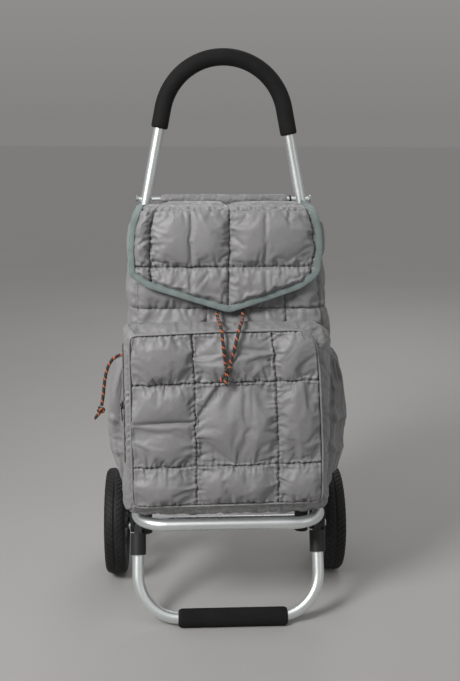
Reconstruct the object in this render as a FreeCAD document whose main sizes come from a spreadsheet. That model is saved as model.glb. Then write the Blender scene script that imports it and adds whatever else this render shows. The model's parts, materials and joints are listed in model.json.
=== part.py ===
import FreeCAD, Part
import math
import os
import re
import Sketcher

# Folding two-wheeled shopping trolley: an aluminium tube frame with a padded bag.
# Millimetres, +Z up, +X to the right when the bag is seen from its front,
# -Y towards the front.  The origin lies on the floor, midway between the wheels
# and midway between the bag's front face and the backs of the wheels.

V = FreeCAD.Vector
X_AXIS, Y_AXIS, Z_AXIS = V(1, 0, 0), V(0, 1, 0), V(0, 0, 1)

SIZES = {
    # wheels and axle
    "wheel_radius": 100, "overall_width": 445, "tyre_width": 39, "tyre_depth": 18,
    "rim_width": 28, "rim_wall": 4, "hub_radius": 15, "hub_recess": 10,
    "bush_radius": 8, "axle_radius": 5, "running_gap": 0.05,
    "clip_radius": 9, "clip_thick": 1.5, "cap_wall": 2,
    # tubes and lean of the upright frame
    "tube_radius": 10, "tube_wall": 1.5, "frame_lean": 3, "leg_half_gap": 150,
    "leg_foot": 19, "leg_bend": 150, "splay_angle": 11.14, "arch_radius": 110.4,
    "arch_top": 857, "grip_radius": 15, "grip_reach": 128, "grip_shift": 5.5,
    # crossbar that carries the bag
    "crossbar_up": 608, "crossbar_radius": 4, "crossbar_half": 155, "crossbar_cap_radius": 7,
    "sleeve_radius": 8, "sleeve_half": 115, "hook_radius": 6.2, "hook_wire": 1.5,
    # rear brackets and platform hinge
    "bracket_radius": 13, "bracket_up": 130, "bracket_down": 25, "screw_radius": 2.5,
    "screw_up": 108, "bolt_down": 14, "pivot_reach": 45, "platform_up": 87.7,
    "lug_radius": 10, "lug_thick": 13, "lug_gap": 2, "pin_radius": 3, "pin_head": 5.5,
    # platform
    "platform_reach": 225, "platform_half": 156, "platform_bend": 50, "platform_tail": 14,
    # folding foot
    "foot_pivot_reach": 161.6, "foot_drop": 28, "foot_lean": 22.5, "foot_height": 14.6,
    "foot_bend": 73, "saddle_wall": 3, "saddle_half": 11, "ear_radius": 12, "ear_thick": 6,
    "tongue_thick": 13, "socket_radius": 13.5, "socket_low": 36.7, "socket_high": 13,
    "foot_pad_half": 94, "foot_pad_shift": 6.6, "foot_pad_radius": 15,
    # bag
    "bag_reach": 250, "pocket_depth": 53.5, "bag_half": 163, "bag_gap": 0.5, "bag_height": 498.5,
    "bag_wall": 5, "pocket_wall": 4, "slit_width": 6, "board_thick": 3, "pocket_half": 173,
    "pocket_low": 15.5,
    "pocket_gap": 33, "piping_thick": 4, "flap_half": 156, "flap_thick": 8, "flap_gap": 12,
    "flap_drop": 102, "flap_tip_drop": 157, "flap_hinge_radius": 5, "binding_width": 9,
    "binding_thick": 1.5, "side_bulge": 34, "side_mouth": 14, "side_height": 272,
    "side_front": 187, "side_back": 40, "side_wall": 4, "soft_gap": 0.4,
    # side zip and cord guides
    "zip_width": 14, "zip_low_gap": 83, "zip_high_gap": 26, "zip_thick": 1.5, "slider_z": 392,
    "slider_height": 12, "pull_length": 26, "guide_half": 22, "guide_width": 14,
    "guide_low": 572, "guide_height": 24, "guide_thick": 8, "side_guide_z": 474,
    # cord
    "cord_radius": 2.75, "knot_radius": 7.5,
}

doc = FreeCAD.newDocument("ShoppingTrolley")
sheet = doc.addObject("Spreadsheet::Sheet", "Sizes")
for row, (alias, number) in enumerate(SIZES.items(), start=1):
    sheet.set(f"A{row}", alias)
    sheet.set(f"B{row}", str(number))
    sheet.setAlias(f"B{row}", alias)
doc.recompute()

# Places worked out from the driving sizes, as text for expressions.
AXLE_Y = "(bag_reach - wheel_radius) / 2"
AXLE_Z = "wheel_radius"
PLATFORM_Z = f"({AXLE_Z} + platform_up)"
PIVOT_Y = f"({AXLE_Y} - pivot_reach)"
WHEEL_X = "(overall_width - tyre_width) / 2"
HUB_IN = "(overall_width / 2 - tyre_width)"
HUB_OUT = "(overall_width / 2 - hub_recess)"
APEX_UP = "(arch_top + arch_radius * (1 / sin(splay_angle) - 1))"
BEND_UP = f"({APEX_UP} - leg_half_gap / tan(splay_angle))"
CROSSBAR_Y = f"({AXLE_Y} + crossbar_up * sin(frame_lean))"
CROSSBAR_Z = f"({AXLE_Z} + crossbar_up * cos(frame_lean))"
FOOT_PIVOT_Y = f"({AXLE_Y} - foot_pivot_reach)"
FOOT_PIVOT_Z = f"({PLATFORM_Z} - foot_drop)"
FOOT_RUN = f"(({FOOT_PIVOT_Z} - foot_height) / cos(foot_lean))"
FOOT_BAR_Y = f"({FOOT_PIVOT_Y} - {FOOT_RUN} * sin(foot_lean))"
LUG_X = "(platform_half - tube_radius - lug_gap - lug_thick)"
BAG_LOW = f"({PLATFORM_Z} + tube_radius + saddle_wall + bag_gap)"
BAG_TOP = f"({BAG_LOW} + bag_height)"
BAG_FRONT = f"({AXLE_Y} - bag_reach + pocket_depth)"
POCKET_FRONT = f"({AXLE_Y} - bag_reach)"
FLAP_TOP = f"({BAG_TOP} + 2 * flap_thick)"
POCKET_LOW = f"({BAG_LOW} + pocket_low)"
POCKET_HIGH = f"({FLAP_TOP} - flap_tip_drop - pocket_gap)"
ZIP_LOW = f"({POCKET_LOW} + zip_low_gap)"
ZIP_HIGH = f"({POCKET_HIGH} - zip_high_gap)"
ZIP_Y = f"({POCKET_FRONT} + 25)"
FLAP_FACE = f"({BAG_FRONT} - flap_gap)"


def bound(text):
    """Turn the size names in a formula into references to the spreadsheet."""
    return re.sub(r"[a-z][a-z_]+",
                  lambda m: "Sizes." + m.group(0) if m.group(0) in SIZES else m.group(0), str(text))


def value(text):
    return float(sheet.evalExpression(bound(text)))


def bind(thing, name, text):
    thing.setExpression(name, bound(text))


def bag_back(height):
    """Y of the bag's back face, which leans with the frame in front of the legs."""
    return (f"({AXLE_Y} + ({height} - {AXLE_Z}) * tan(frame_lean)"
            f" - bracket_radius / cos(frame_lean) - soft_gap)")


def place(thing, base, angle="0", axis=X_AXIS):
    """Put a piece at a bound position, turned about one axis by a bound angle."""
    thing.Placement = FreeCAD.Placement(V(0, 0, 0), FreeCAD.Rotation(axis, 1))
    for letter, text in zip("xyz", base):
        bind(thing, "Placement.Base." + letter, text)
    bind(thing, "Placement.Rotation.Angle", angle)
    return thing


# ---- Part primitives and booleans ----

def rod(label, radius, x_from, x_to, y, z):
    """Round bar along X."""
    bar = doc.addObject("Part::Cylinder", label)
    bar.Label = label
    bind(bar, "Radius", radius)
    bind(bar, "Height", f"({x_to}) - ({x_from})")
    return place(bar, (x_from, y, z), "90", Y_AXIS)


def box(label, lows, highs):
    """Block between two bound corners."""
    block = doc.addObject("Part::Box", label)
    block.Label = label
    for side, low, high in zip(("Length", "Width", "Height"), lows, highs):
        bind(block, side, f"({high}) - ({low})")
    return place(block, lows)


def leaning_rod(label, radius, low, high, base, angle):
    """Round bar along a leg whose plane leans from the vertical."""
    bar = doc.addObject("Part::Cylinder", label)
    bar.Label = label
    bind(bar, "Radius", radius)
    bind(bar, "Height", f"({high}) - ({low})")
    x, y, z = base
    return place(bar, (x, f"{y} + ({low}) * sin({angle})", f"{z} + ({low}) * cos({angle})"),
                 f"-({angle})")


def fuse(label, *shapes):
    joined = doc.addObject("Part::MultiFuse", label)
    joined.Label = label
    joined.Shapes = list(shapes)
    joined.Refine = True
    return joined


def cut(label, base, *tools):
    tool = tools[0] if len(tools) == 1 else fuse(label + "_cutters", *tools)
    carved = doc.addObject("Part::Cut", label)
    carved.Label = label
    carved.Base = base
    carved.Tool = tool
    return carved


def group(label, *shapes):
    """Identical loose pieces kept as separate solids in one node."""
    node = doc.addObject("Part::Compound", label)
    node.Label = label
    node.Links = list(shapes)
    return node


# ---- PartDesign bodies ----

def new_body(label):
    body = doc.addObject("PartDesign::Body", label)
    body.Label = label
    return body


def new_sketch(body, name, plane, offset="0"):
    sketch = body.newObject("Sketcher::SketchObject", name)
    face = next(f for f in body.Origin.OriginFeatures if f.Role == plane)
    sketch.AttachmentSupport = [(face, "")]
    sketch.MapMode = "FlatFace"
    bind(sketch, "AttachmentOffset.Base.z", offset)
    return sketch


def pin_point(sketch, geometry, end, point):
    """Hold a point of a sketch at bound coordinates."""
    for kind, text in zip(("DistanceX", "DistanceY"), point):
        index = sketch.addConstraint(Sketcher.Constraint(kind, -1, 1, geometry, end, value(text)))
        bind(sketch, f"Constraints[{index}]", text)


def polygon(sketch, points):
    """Closed outline with every corner at bound coordinates."""
    spots = [V(value(x), value(y), 0) for x, y in points]
    sides = [sketch.addGeometry(Part.LineSegment(a, b)) for a, b in zip(spots, spots[1:] + spots[:1])]
    for side, following in zip(sides, sides[1:] + sides[:1]):
        sketch.addConstraint(Sketcher.Constraint("Coincident", side, 2, following, 1))
    for side, point in zip(sides, points):
        pin_point(sketch, side, 1, point)


def circle(sketch, centre, radius):
    spot = V(value(centre[0]), value(centre[1]), 0)
    ring = sketch.addGeometry(Part.Circle(spot, Z_AXIS, value(radius)))
    pin_point(sketch, ring, 3, centre)
    index = sketch.addConstraint(Sketcher.Constraint("Radius", ring, value(radius)))
    bind(sketch, f"Constraints[{index}]", radius)


def bent_path(sketch, corners, radii):
    """Open centre line: straight runs between bound corners, rounded by tangent arcs."""
    spots = [V(value(x), value(y), 0) for x, y in corners]
    guides = [sketch.addGeometry(Part.LineSegment(a, b), True) for a, b in zip(spots, spots[1:])]
    for first, second in zip(guides, guides[1:]):
        sketch.addConstraint(Sketcher.Constraint("Coincident", first, 2, second, 1))
    for guide, corner in zip(guides, corners):
        pin_point(sketch, guide, 1, corner)
    pin_point(sketch, guides[-1], 2, corners[-1])
    starts, ends, arcs = [spots[0]], [], []
    for before, corner, after, radius in zip(spots, spots[1:], spots[2:], radii):
        way_in, way_out = (corner - before).normalize(), (after - corner).normalize()
        half_turn = way_in.getAngle(way_out) / 2
        setback = value(radius) * math.tan(half_turn)
        touch_in, touch_out = corner - way_in * setback, corner + way_out * setback
        inward = (way_out - way_in).normalize()
        centre = corner + inward * (value(radius) / math.cos(half_turn))
        arcs.append((touch_in, centre - inward * value(radius), touch_out, radius))
        ends.append(touch_in)
        starts.append(touch_out)
    ends.append(spots[-1])
    runs = []
    for number, (a, b) in enumerate(zip(starts, ends)):
        runs.append(sketch.addGeometry(Part.LineSegment(a, b)))
        if number < len(arcs):
            touch_in, middle, touch_out, radius = arcs[number]
            arc = sketch.addGeometry(Part.Arc(touch_in, middle, touch_out))
            arcs[number] = (arc, touch_in, radius)
    for run, guide in zip(runs, guides):
        for end in (1, 2):
            if not (run == runs[0] and end == 1) and not (run == runs[-1] and end == 2):
                sketch.addConstraint(Sketcher.Constraint("PointOnObject", run, end, guide))
    sketch.addConstraint(Sketcher.Constraint("Coincident", runs[0], 1, guides[0], 1))
    sketch.addConstraint(Sketcher.Constraint("Coincident", runs[-1], 2, guides[-1], 2))
    for number, (arc, touch_in, radius) in enumerate(arcs):
        first = 1 if (sketch.getPoint(arc, 1) - touch_in).Length < 1e-6 else 2
        sketch.addConstraint(Sketcher.Constraint("Tangent", runs[number], 2, arc, first))
        sketch.addConstraint(Sketcher.Constraint("Tangent", runs[number + 1], 1, arc, 3 - first))
        index = sketch.addConstraint(Sketcher.Constraint("Radius", arc, value(radius)))
        bind(sketch, f"Constraints[{index}]", radius)


def bent_tube(label, corners, radii, outer, inner, base, lean="0"):
    """Tube swept along a flat centre line drawn in the body's own XZ plane."""
    body = new_body(label)
    path = new_sketch(body, label + "_path", "XZ_Plane")
    bent_path(path, corners, radii)
    doc.recompute()
    section = body.newObject("Sketcher::SketchObject", label + "_section")
    section.AttachmentSupport = [(path, "Edge1")]
    section.MapMode = "NormalToEdge"
    circle(section, ("0", "0"), outer)
    circle(section, ("0", "0"), inner)
    doc.recompute()
    pipe = body.newObject("PartDesign::AdditivePipe", label + "_pipe")
    pipe.Profile = section
    pipe.Spine = path
    place(body, base, f"-({lean})")
    return body


def pad(body, sketch, length):
    feature = body.newObject("PartDesign::Pad", sketch.Name + "_pad")
    feature.Profile = sketch
    bind(feature, "Length", length)
    doc.recompute()
    return feature


def pocket(body, sketch, length):
    """Cut a blind recess and make sure that it removes material."""
    before = body.Shape.Volume
    feature = body.newObject("PartDesign::Pocket", sketch.Name + "_pocket")
    feature.Profile = sketch
    feature.SideType = "Symmetric"
    bind(feature, "Length", length)
    doc.recompute()
    if not body.Shape.Volume < before:
        raise RuntimeError(feature.Label + " removes nothing")
    return feature


def side_profile_pad(label, outline, x_from, x_to):
    """Solid with an outline drawn in the YZ plane and a bound width along X."""
    body = new_body(label)
    sketch = new_sketch(body, label + "_outline", "YZ_Plane", x_from)
    polygon(sketch, outline)
    pad(body, sketch, f"({x_to}) - ({x_from})")
    return body


def turned(label, outline, base):
    """Solid of revolution about X, its outline given as (along X, radius)."""
    body = new_body(label)
    sketch = new_sketch(body, label + "_outline", "XZ_Plane")
    polygon(sketch, outline)
    doc.recompute()
    spin = body.newObject("PartDesign::Revolution", label + "_turn")
    spin.Profile = sketch
    spin.ReferenceAxis = (next(f for f in body.Origin.OriginFeatures if f.Role == "X_Axis"), [""])
    spin.Angle = 360
    place(body, base)
    return body


# ---- upright frame ----

def make_handle_frame():
    corners = [("-leg_half_gap", "leg_foot"), ("-leg_half_gap", BEND_UP), ("0", APEX_UP),
               ("leg_half_gap", BEND_UP), ("leg_half_gap", "leg_foot")]
    tube = bent_tube("handle_tube", corners, ["leg_bend", "arch_radius", "leg_bend"],
                     "tube_radius", "tube_radius - tube_wall", ("0", AXLE_Y, AXLE_Z), "frame_lean")
    bar_hole = rod("crossbar_hole", "crossbar_radius + running_gap", "-crossbar_half",
                   "crossbar_half", CROSSBAR_Y, CROSSBAR_Z)
    holes = [bar_hole]
    for side, sign in (("left", "-1"), ("right", "1")):
        holes.append(rod(f"leg_screw_hole_{side}", "screw_radius",
                         f"{sign} * leg_half_gap - 2 * bracket_radius",
                         f"{sign} * leg_half_gap + 2 * bracket_radius",
                         f"{AXLE_Y} + screw_up * sin(frame_lean)",
                         f"{AXLE_Z} + screw_up * cos(frame_lean)"))
    return cut("handle_frame", tube, *holes)


def make_handle_grip():
    """Foam sleeve over the arch; its two ends reach down the legs by a bound length."""
    touch = "arch_radius * sin(splay_angle)"
    middle_up = "(arch_top - arch_radius)"

    def leg_point(sign, reach):
        up = f"({middle_up} + {touch} - ({reach}) * cos(splay_angle))"
        return (f"{sign} * ({APEX_UP} - {up}) * tan(splay_angle)", up)

    reach = "(grip_reach - arch_radius * cos(splay_angle) + arch_radius * sin(splay_angle))"
    corners = [leg_point("-1", f"{reach} - grip_shift"), ("0", APEX_UP),
               leg_point("1", f"{reach} + grip_shift")]
    return bent_tube("handle_grip", corners, ["arch_radius"], "grip_radius", "tube_radius",
                     ("0", AXLE_Y, AXLE_Z), "frame_lean")


def make_crossbar():
    rod("crossbar", "crossbar_radius", "-crossbar_half", "crossbar_half", CROSSBAR_Y, CROSSBAR_Z)
    for side, sign in (("left", "-1"), ("right", "1")):
        inner, outer = f"{sign} * crossbar_half", f"{sign} * (crossbar_half + 3)"
        low, high = (outer, inner) if sign == "-1" else (inner, outer)
        rod(f"crossbar_cap_{side}", "crossbar_cap_radius", low, high, CROSSBAR_Y, CROSSBAR_Z)


def make_rear_bracket(side, sign):
    """Socket for a leg, with the axle hole and the lug that the platform hinges on."""
    axle_line = (f"{sign} * leg_half_gap", AXLE_Y, AXLE_Z)
    barrel = leaning_rod(f"bracket_barrel_{side}", "bracket_radius", "-bracket_down",
                         "bracket_up", axle_line, "frame_lean")
    inner, outer = f"{sign} * {LUG_X}", f"{sign} * ({LUG_X} + lug_thick)"
    low, high = (outer, inner) if sign == "-1" else (inner, outer)
    eye = rod(f"lug_eye_{side}", "lug_radius", low, high, PIVOT_Y, PLATFORM_Z)
    web = box(f"lug_web_{side}", (low, PIVOT_Y, f"{PLATFORM_Z} - lug_radius"),
              (high, f"{AXLE_Y} + 4", f"{PLATFORM_Z} + lug_radius"))
    leg = f"{sign} * leg_half_gap"
    bridge = box(f"lug_bridge_{side}",
                 (f"min({low}; {leg})", f"{AXLE_Y} - 8", f"{PLATFORM_Z} - lug_radius"),
                 (f"max({high}; {leg})", f"{AXLE_Y} + 4", f"{PLATFORM_Z} + lug_radius"))
    casting = fuse(f"bracket_casting_{side}", barrel, eye, web, bridge)
    bore = leaning_rod(f"bracket_bore_{side}", "tube_radius", "leg_foot",
                       "bracket_up + bracket_down", axle_line, "frame_lean")
    reach = (f"{sign} * leg_half_gap - 3 * bracket_radius",
             f"{sign} * leg_half_gap + 3 * bracket_radius")
    holes = [
        rod(f"axle_hole_{side}", "axle_radius", *reach, AXLE_Y, AXLE_Z),
        rod(f"pivot_hole_{side}", "pin_radius", f"{low} - 1", f"{high} + 1", PIVOT_Y, PLATFORM_Z),
        rod(f"screw_hole_{side}", "screw_radius", *reach,
            f"{AXLE_Y} + screw_up * sin(frame_lean)", f"{AXLE_Z} + screw_up * cos(frame_lean)"),
        rod(f"bolt_hole_{side}", "screw_radius", *reach,
            f"{AXLE_Y} - bolt_down * sin(frame_lean)", f"{AXLE_Z} - bolt_down * cos(frame_lean)"),
    ]
    cut(f"rear_bracket_{side}", casting, bore, *holes)


def make_bolt(label, radius, head, low, high, y, z):
    """Plain bolt along X with a round head at each end of its grip."""
    shank = rod(label + "_shank", radius, f"{low} - 3", f"{high} + 3", y, z)
    heads = [rod(label + "_head_a", head, f"{low} - 3", low, y, z),
             rod(label + "_head_b", head, high, f"{high} + 3", y, z)]
    return fuse(label, shank, *heads)


def make_bracket_bolts(side, sign):
    """One bolt holds the leg in its socket, and one clamps the bracket under the axle."""
    bolts = []
    for name, up in (("upper", "screw_up"), ("lower", "(-bolt_down)")):
        bolts.append(make_bolt(f"bracket_bolt_{name}_{side}", "screw_radius", "1.8 * screw_radius",
                               f"{sign} * leg_half_gap - bracket_radius",
                               f"{sign} * leg_half_gap + bracket_radius",
                               f"{AXLE_Y} + {up} * sin(frame_lean)",
                               f"{AXLE_Z} + {up} * cos(frame_lean)"))
    group(f"bracket_bolts_{side}", *bolts)


# ---- wheels ----

def make_axle():
    reach = f"({HUB_OUT} + 2 * clip_thick + 1.5)"
    rod("axle", "axle_radius", f"-{reach}", reach, AXLE_Y, AXLE_Z)


def make_wheel(side, sign):
    def ring(label, outer, inner, start, stop):
        low, high = (start, stop) if sign == "1" else (f"-({stop})", f"-({start})")
        solid = rod(label + "_outer", outer, low, high, AXLE_Y, AXLE_Z)
        hole = rod(label + "_hole", inner, f"{low} - 1", f"{high} + 1", AXLE_Y, AXLE_Z)
        return cut(label, solid, hole)

    ring(f"axle_spacer_{side}", "bush_radius", "axle_radius", "leg_half_gap + bracket_radius + 3.2",
         f"{HUB_IN} - 0.3")
    ring(f"axle_clip_{side}", "clip_radius", "axle_radius", f"{HUB_OUT} + 0.4",
         f"{HUB_OUT} + 0.4 + clip_thick")
    ring(f"wheel_bush_{side}", "bush_radius", "axle_radius + running_gap", HUB_IN, HUB_OUT)

    centre = (f"{sign} * {WHEEL_X}", AXLE_Y, AXLE_Z)
    bead = "(wheel_radius - tyre_depth)"
    tyre_points = [("-tyre_width / 2 + 5", bead), ("tyre_width / 2 - 5", bead),
                   ("tyre_width / 2", f"{bead} + 5"), ("tyre_width / 2", "wheel_radius - 7"),
                   ("tyre_width / 2 - 7", "wheel_radius - 1"), ("4", "wheel_radius"),
                   ("-4", "wheel_radius"), ("-tyre_width / 2 + 7", "wheel_radius - 1"),
                   ("-tyre_width / 2", "wheel_radius - 7"), ("-tyre_width / 2", f"{bead} + 5")]
    turned(f"tyre_{side}", tyre_points, centre)

    rim = new_body(f"wheel_rim_{side}")
    felloe = new_sketch(rim, f"felloe_{side}", "XZ_Plane")
    polygon(felloe, [("-rim_width / 2", f"{bead} - rim_wall"), ("rim_width / 2", f"{bead} - rim_wall"),
                     ("rim_width / 2", bead), ("-rim_width / 2", bead)])
    hub_low, hub_high = f"({HUB_IN} - {WHEEL_X})", f"({HUB_OUT} - {WHEEL_X})"
    if sign == "-1":
        hub_low, hub_high = f"(-{hub_high})", f"(-{hub_low})"
    hub = new_sketch(rim, f"hub_{side}", "XZ_Plane")
    polygon(hub, [(hub_low, "bush_radius"), (hub_high, "bush_radius"),
                  (hub_high, "hub_radius"), (hub_low, "hub_radius")])
    axis = next(f for f in rim.Origin.OriginFeatures if f.Role == "X_Axis")
    for sketch in (felloe, hub):
        spin = rim.newObject("PartDesign::Revolution", sketch.Name + "_turn")
        spin.Profile = sketch
        spin.ReferenceAxis = (axis, [""])
        spin.Angle = 360
        spin.Refine = True
        if sketch is felloe:
            doc.recompute()
            disc = new_sketch(rim, f"web_{side}", "XZ_Plane")
            polygon(disc, [("-2", "hub_radius - 3"), ("2", "hub_radius - 3"),
                           ("2", f"{bead} - rim_wall / 2"), ("-2", f"{bead} - rim_wall / 2")])
            web = rim.newObject("PartDesign::Revolution", f"web_{side}_turn")
            web.Profile = disc
            web.ReferenceAxis = (axis, [""])
            web.Angle = 360
        doc.recompute()
    window = new_sketch(rim, f"window_{side}", "YZ_Plane", "0")
    half_in, half_out = "(hub_radius * 0.4)", f"(({bead} - rim_wall) * 0.4)"
    low, high = "(hub_radius + 5)", f"(({bead} - rim_wall) * 0.86)"
    polygon(window, [(f"-{half_in} + 2", low), (f"{half_in} - 2", low),
                     (half_out, high), (f"-{half_out}", high)])
    first = pocket(rim, window, "rim_width")
    pattern = rim.newObject("PartDesign::PolarPattern", f"windows_{side}")
    pattern.Originals = [first]
    pattern.Axis = (axis, [""])
    pattern.Angle = 360
    pattern.Occurrences = 6
    rim.Tip = pattern
    place(rim, centre)

    cap_points = [("0.2", "hub_radius - 4"), ("0.2", "hub_radius"), ("hub_recess - 3", "hub_radius"),
                  ("hub_recess - 0.6", "hub_radius - 4"), ("hub_recess - 0.6", "0"),
                  ("hub_recess - 0.6 - cap_wall", "0"),
                  ("hub_recess - 0.6 - cap_wall", "hub_radius - 4")]
    if sign == "-1":
        cap_points = [(f"-({x})", y) for x, y in cap_points]
    turned(f"hub_cap_{side}", cap_points, (f"{sign} * {HUB_OUT}", AXLE_Y, AXLE_Z))


# ---- platform and folding foot ----

def make_platform():
    """U-shaped tube lying flat, its open end hinged on the rear brackets."""
    tail = f"(pivot_reach - platform_tail)"
    corners = [("-platform_half", f"-{tail}"), ("-platform_half", "-platform_reach"),
               ("platform_half", "-platform_reach"), ("platform_half", f"-{tail}")]
    tube = bent_tube("platform_tube", corners, ["platform_bend"] * 2, "tube_radius",
                     "tube_radius - tube_wall", ("0", AXLE_Y, PLATFORM_Z), "90")
    hole = rod("platform_pivot_holes", "pin_radius + running_gap", "-2 * platform_half",
               "2 * platform_half", PIVOT_Y, PLATFORM_Z)
    cut("platform_frame", tube, hole)
    plugs = []
    for side, sign in (("left", "-1"), ("right", "1")):
        plug = doc.addObject("Part::Cylinder", f"platform_plug_{side}")
        bind(plug, "Radius", "tube_radius")
        bind(plug, "Height", "2.5")
        plugs.append(place(plug, (f"{sign} * platform_half", f"{AXLE_Y} - {tail}", PLATFORM_Z), "-90"))
    group("platform_plugs", *plugs)


def make_platform_pin(side, sign):
    start, stop = LUG_X, "(platform_half + tube_radius + 1)"
    low, high = (start, stop) if sign == "1" else (f"-{stop}", f"-{start}")
    make_bolt(f"platform_pin_{side}", "pin_radius", "pin_head", low, high, PIVOT_Y, PLATFORM_Z)


def make_foot_saddle(side, sign):
    """Clamp round the platform's side tube, with two ears for the foot's hinge."""
    ring = doc.addObject("Part::Cylinder", f"saddle_ring_{side}")
    bind(ring, "Radius", "tube_radius + saddle_wall")
    bind(ring, "Height", "2 * saddle_half")
    place(ring, (f"{sign} * platform_half", f"{FOOT_PIVOT_Y} - saddle_half", PLATFORM_Z), "-90")
    pieces = [ring]
    for ear, edge in (("inner", "-1"), ("outer", "1")):
        middle = f"{sign} * platform_half + {edge} * (tongue_thick + 0.6 + ear_thick) / 2"
        low, high = f"{middle} - ear_thick / 2", f"{middle} + ear_thick / 2"
        pieces.append(rod(f"ear_round_{ear}_{side}", "ear_radius - 1", low, high,
                          FOOT_PIVOT_Y, FOOT_PIVOT_Z))
        pieces.append(box(f"ear_web_{ear}_{side}",
                          (low, f"{FOOT_PIVOT_Y} - saddle_half", FOOT_PIVOT_Z),
                          (high, f"{FOOT_PIVOT_Y} + saddle_half", PLATFORM_Z)))
    casting = fuse(f"saddle_casting_{side}", *pieces)
    bore = doc.addObject("Part::Cylinder", f"saddle_bore_{side}")
    bind(bore, "Radius", "tube_radius")
    bind(bore, "Height", "4 * saddle_half")
    place(bore, (f"{sign} * platform_half", f"{FOOT_PIVOT_Y} - 2 * saddle_half", PLATFORM_Z), "-90")
    pin_hole = rod(f"saddle_pin_hole_{side}", "pin_radius", f"{sign} * platform_half - 40",
                   f"{sign} * platform_half + 40", FOOT_PIVOT_Y, FOOT_PIVOT_Z)
    cut(f"foot_saddle_{side}", casting, bore, pin_hole)
    half = "(tongue_thick / 2 + 0.3 + ear_thick)"
    make_bolt(f"foot_pin_{side}", "pin_radius", "pin_head", f"{sign} * platform_half - {half}",
              f"{sign} * platform_half + {half}", FOOT_PIVOT_Y, FOOT_PIVOT_Z)


def make_foot_socket(side, sign):
    """Swinging socket: a tongue between the saddle's ears, over a round tube holder."""
    pivot = (f"{sign} * platform_half", FOOT_PIVOT_Y, FOOT_PIVOT_Z)
    holder = leaning_rod(f"holder_{side}", "socket_radius", "-socket_low - socket_high",
                         "-socket_high", pivot, "foot_lean")
    low = f"{sign} * platform_half - tongue_thick / 2"
    high = f"{sign} * platform_half + tongue_thick / 2"
    eye = rod(f"tongue_eye_{side}", "ear_radius - 1.5", low, high, FOOT_PIVOT_Y, FOOT_PIVOT_Z)
    stem = doc.addObject("Part::Box", f"tongue_stem_{side}")
    bind(stem, "Length", "tongue_thick")
    bind(stem, "Width", "2 * (ear_radius - 1.5)")
    bind(stem, "Height", "socket_high + 3")
    down, across = "(socket_high + 3)", "(ear_radius - 1.5)"
    place(stem, (low,
                 f"{FOOT_PIVOT_Y} - {down} * sin(foot_lean) - {across} * cos(foot_lean)",
                 f"{FOOT_PIVOT_Z} - {down} * cos(foot_lean) + {across} * sin(foot_lean)"),
          "-foot_lean")
    casting = fuse(f"socket_casting_{side}", holder, eye, stem)
    bore = leaning_rod(f"socket_bore_{side}", "tube_radius", "-2 * socket_low - socket_high",
                       "-socket_high - 4", pivot, "foot_lean")
    pin_hole = rod(f"tongue_pin_hole_{side}", "pin_radius + running_gap",
                   f"{sign} * platform_half - 40", f"{sign} * platform_half + 40",
                   FOOT_PIVOT_Y, FOOT_PIVOT_Z)
    cut(f"foot_socket_{side}", casting, bore, pin_hole)


def make_foot():
    top = f"({FOOT_RUN} - socket_high - 4)"
    corners = [("-platform_half", top), ("-platform_half", "0"), ("platform_half", "0"),
               ("platform_half", top)]
    bent_tube("foot_loop", corners, ["foot_bend"] * 2, "tube_radius", "tube_radius - tube_wall",
              ("0", FOOT_BAR_Y, "foot_height"), "foot_lean")
    low, high = "foot_pad_shift - foot_pad_half", "foot_pad_shift + foot_pad_half"
    foam = rod("pad_outer", "foot_pad_radius", low, high, FOOT_BAR_Y, "foot_height")
    hole = rod("pad_hole", "tube_radius", f"{low} - 1", f"{high} + 1", FOOT_BAR_Y, "foot_height")
    floor = box("pad_flat", (f"{low} - 1", f"{FOOT_BAR_Y} - 2 * foot_pad_radius", "-foot_pad_radius"),
                (f"{high} + 1", f"{FOOT_BAR_Y} + 2 * foot_pad_radius", "0"))
    cut("foot_pad", foam, hole, floor)


# ---- bag ----

def make_bag_body():
    """Open-topped padded shell that stands on the platform in front of the legs."""
    outline = [(BAG_FRONT, BAG_LOW), (bag_back(BAG_LOW), BAG_LOW), (bag_back(BAG_TOP), BAG_TOP),
               (BAG_FRONT, BAG_TOP)]
    body = side_profile_pad("bag_body", outline, "-bag_half", "bag_half")
    floor = f"({BAG_LOW} + bag_wall)"
    rim = f"({BAG_TOP} + 1)"
    hollow = new_sketch(body, "bag_hollow", "YZ_Plane", "0")
    polygon(hollow, [(f"{BAG_FRONT} + bag_wall", floor), (f"{bag_back(floor)} - bag_wall", floor),
                     (f"{bag_back(rim)} - bag_wall", rim), (f"{BAG_FRONT} + bag_wall", rim)])
    pocket(body, hollow, "2 * (bag_half - bag_wall)")


def make_base_board():
    """Stiff board in the bottom of the bag, which lifts with the platform."""
    low = f"({BAG_LOW} + bag_wall + soft_gap)"
    box("base_board", ("-bag_half + bag_wall + 8", f"{BAG_FRONT} + bag_wall + 2", low),
        ("bag_half - bag_wall - 8", f"{PIVOT_Y} - 2 * lug_radius", f"{low} + board_thick"))


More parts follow.
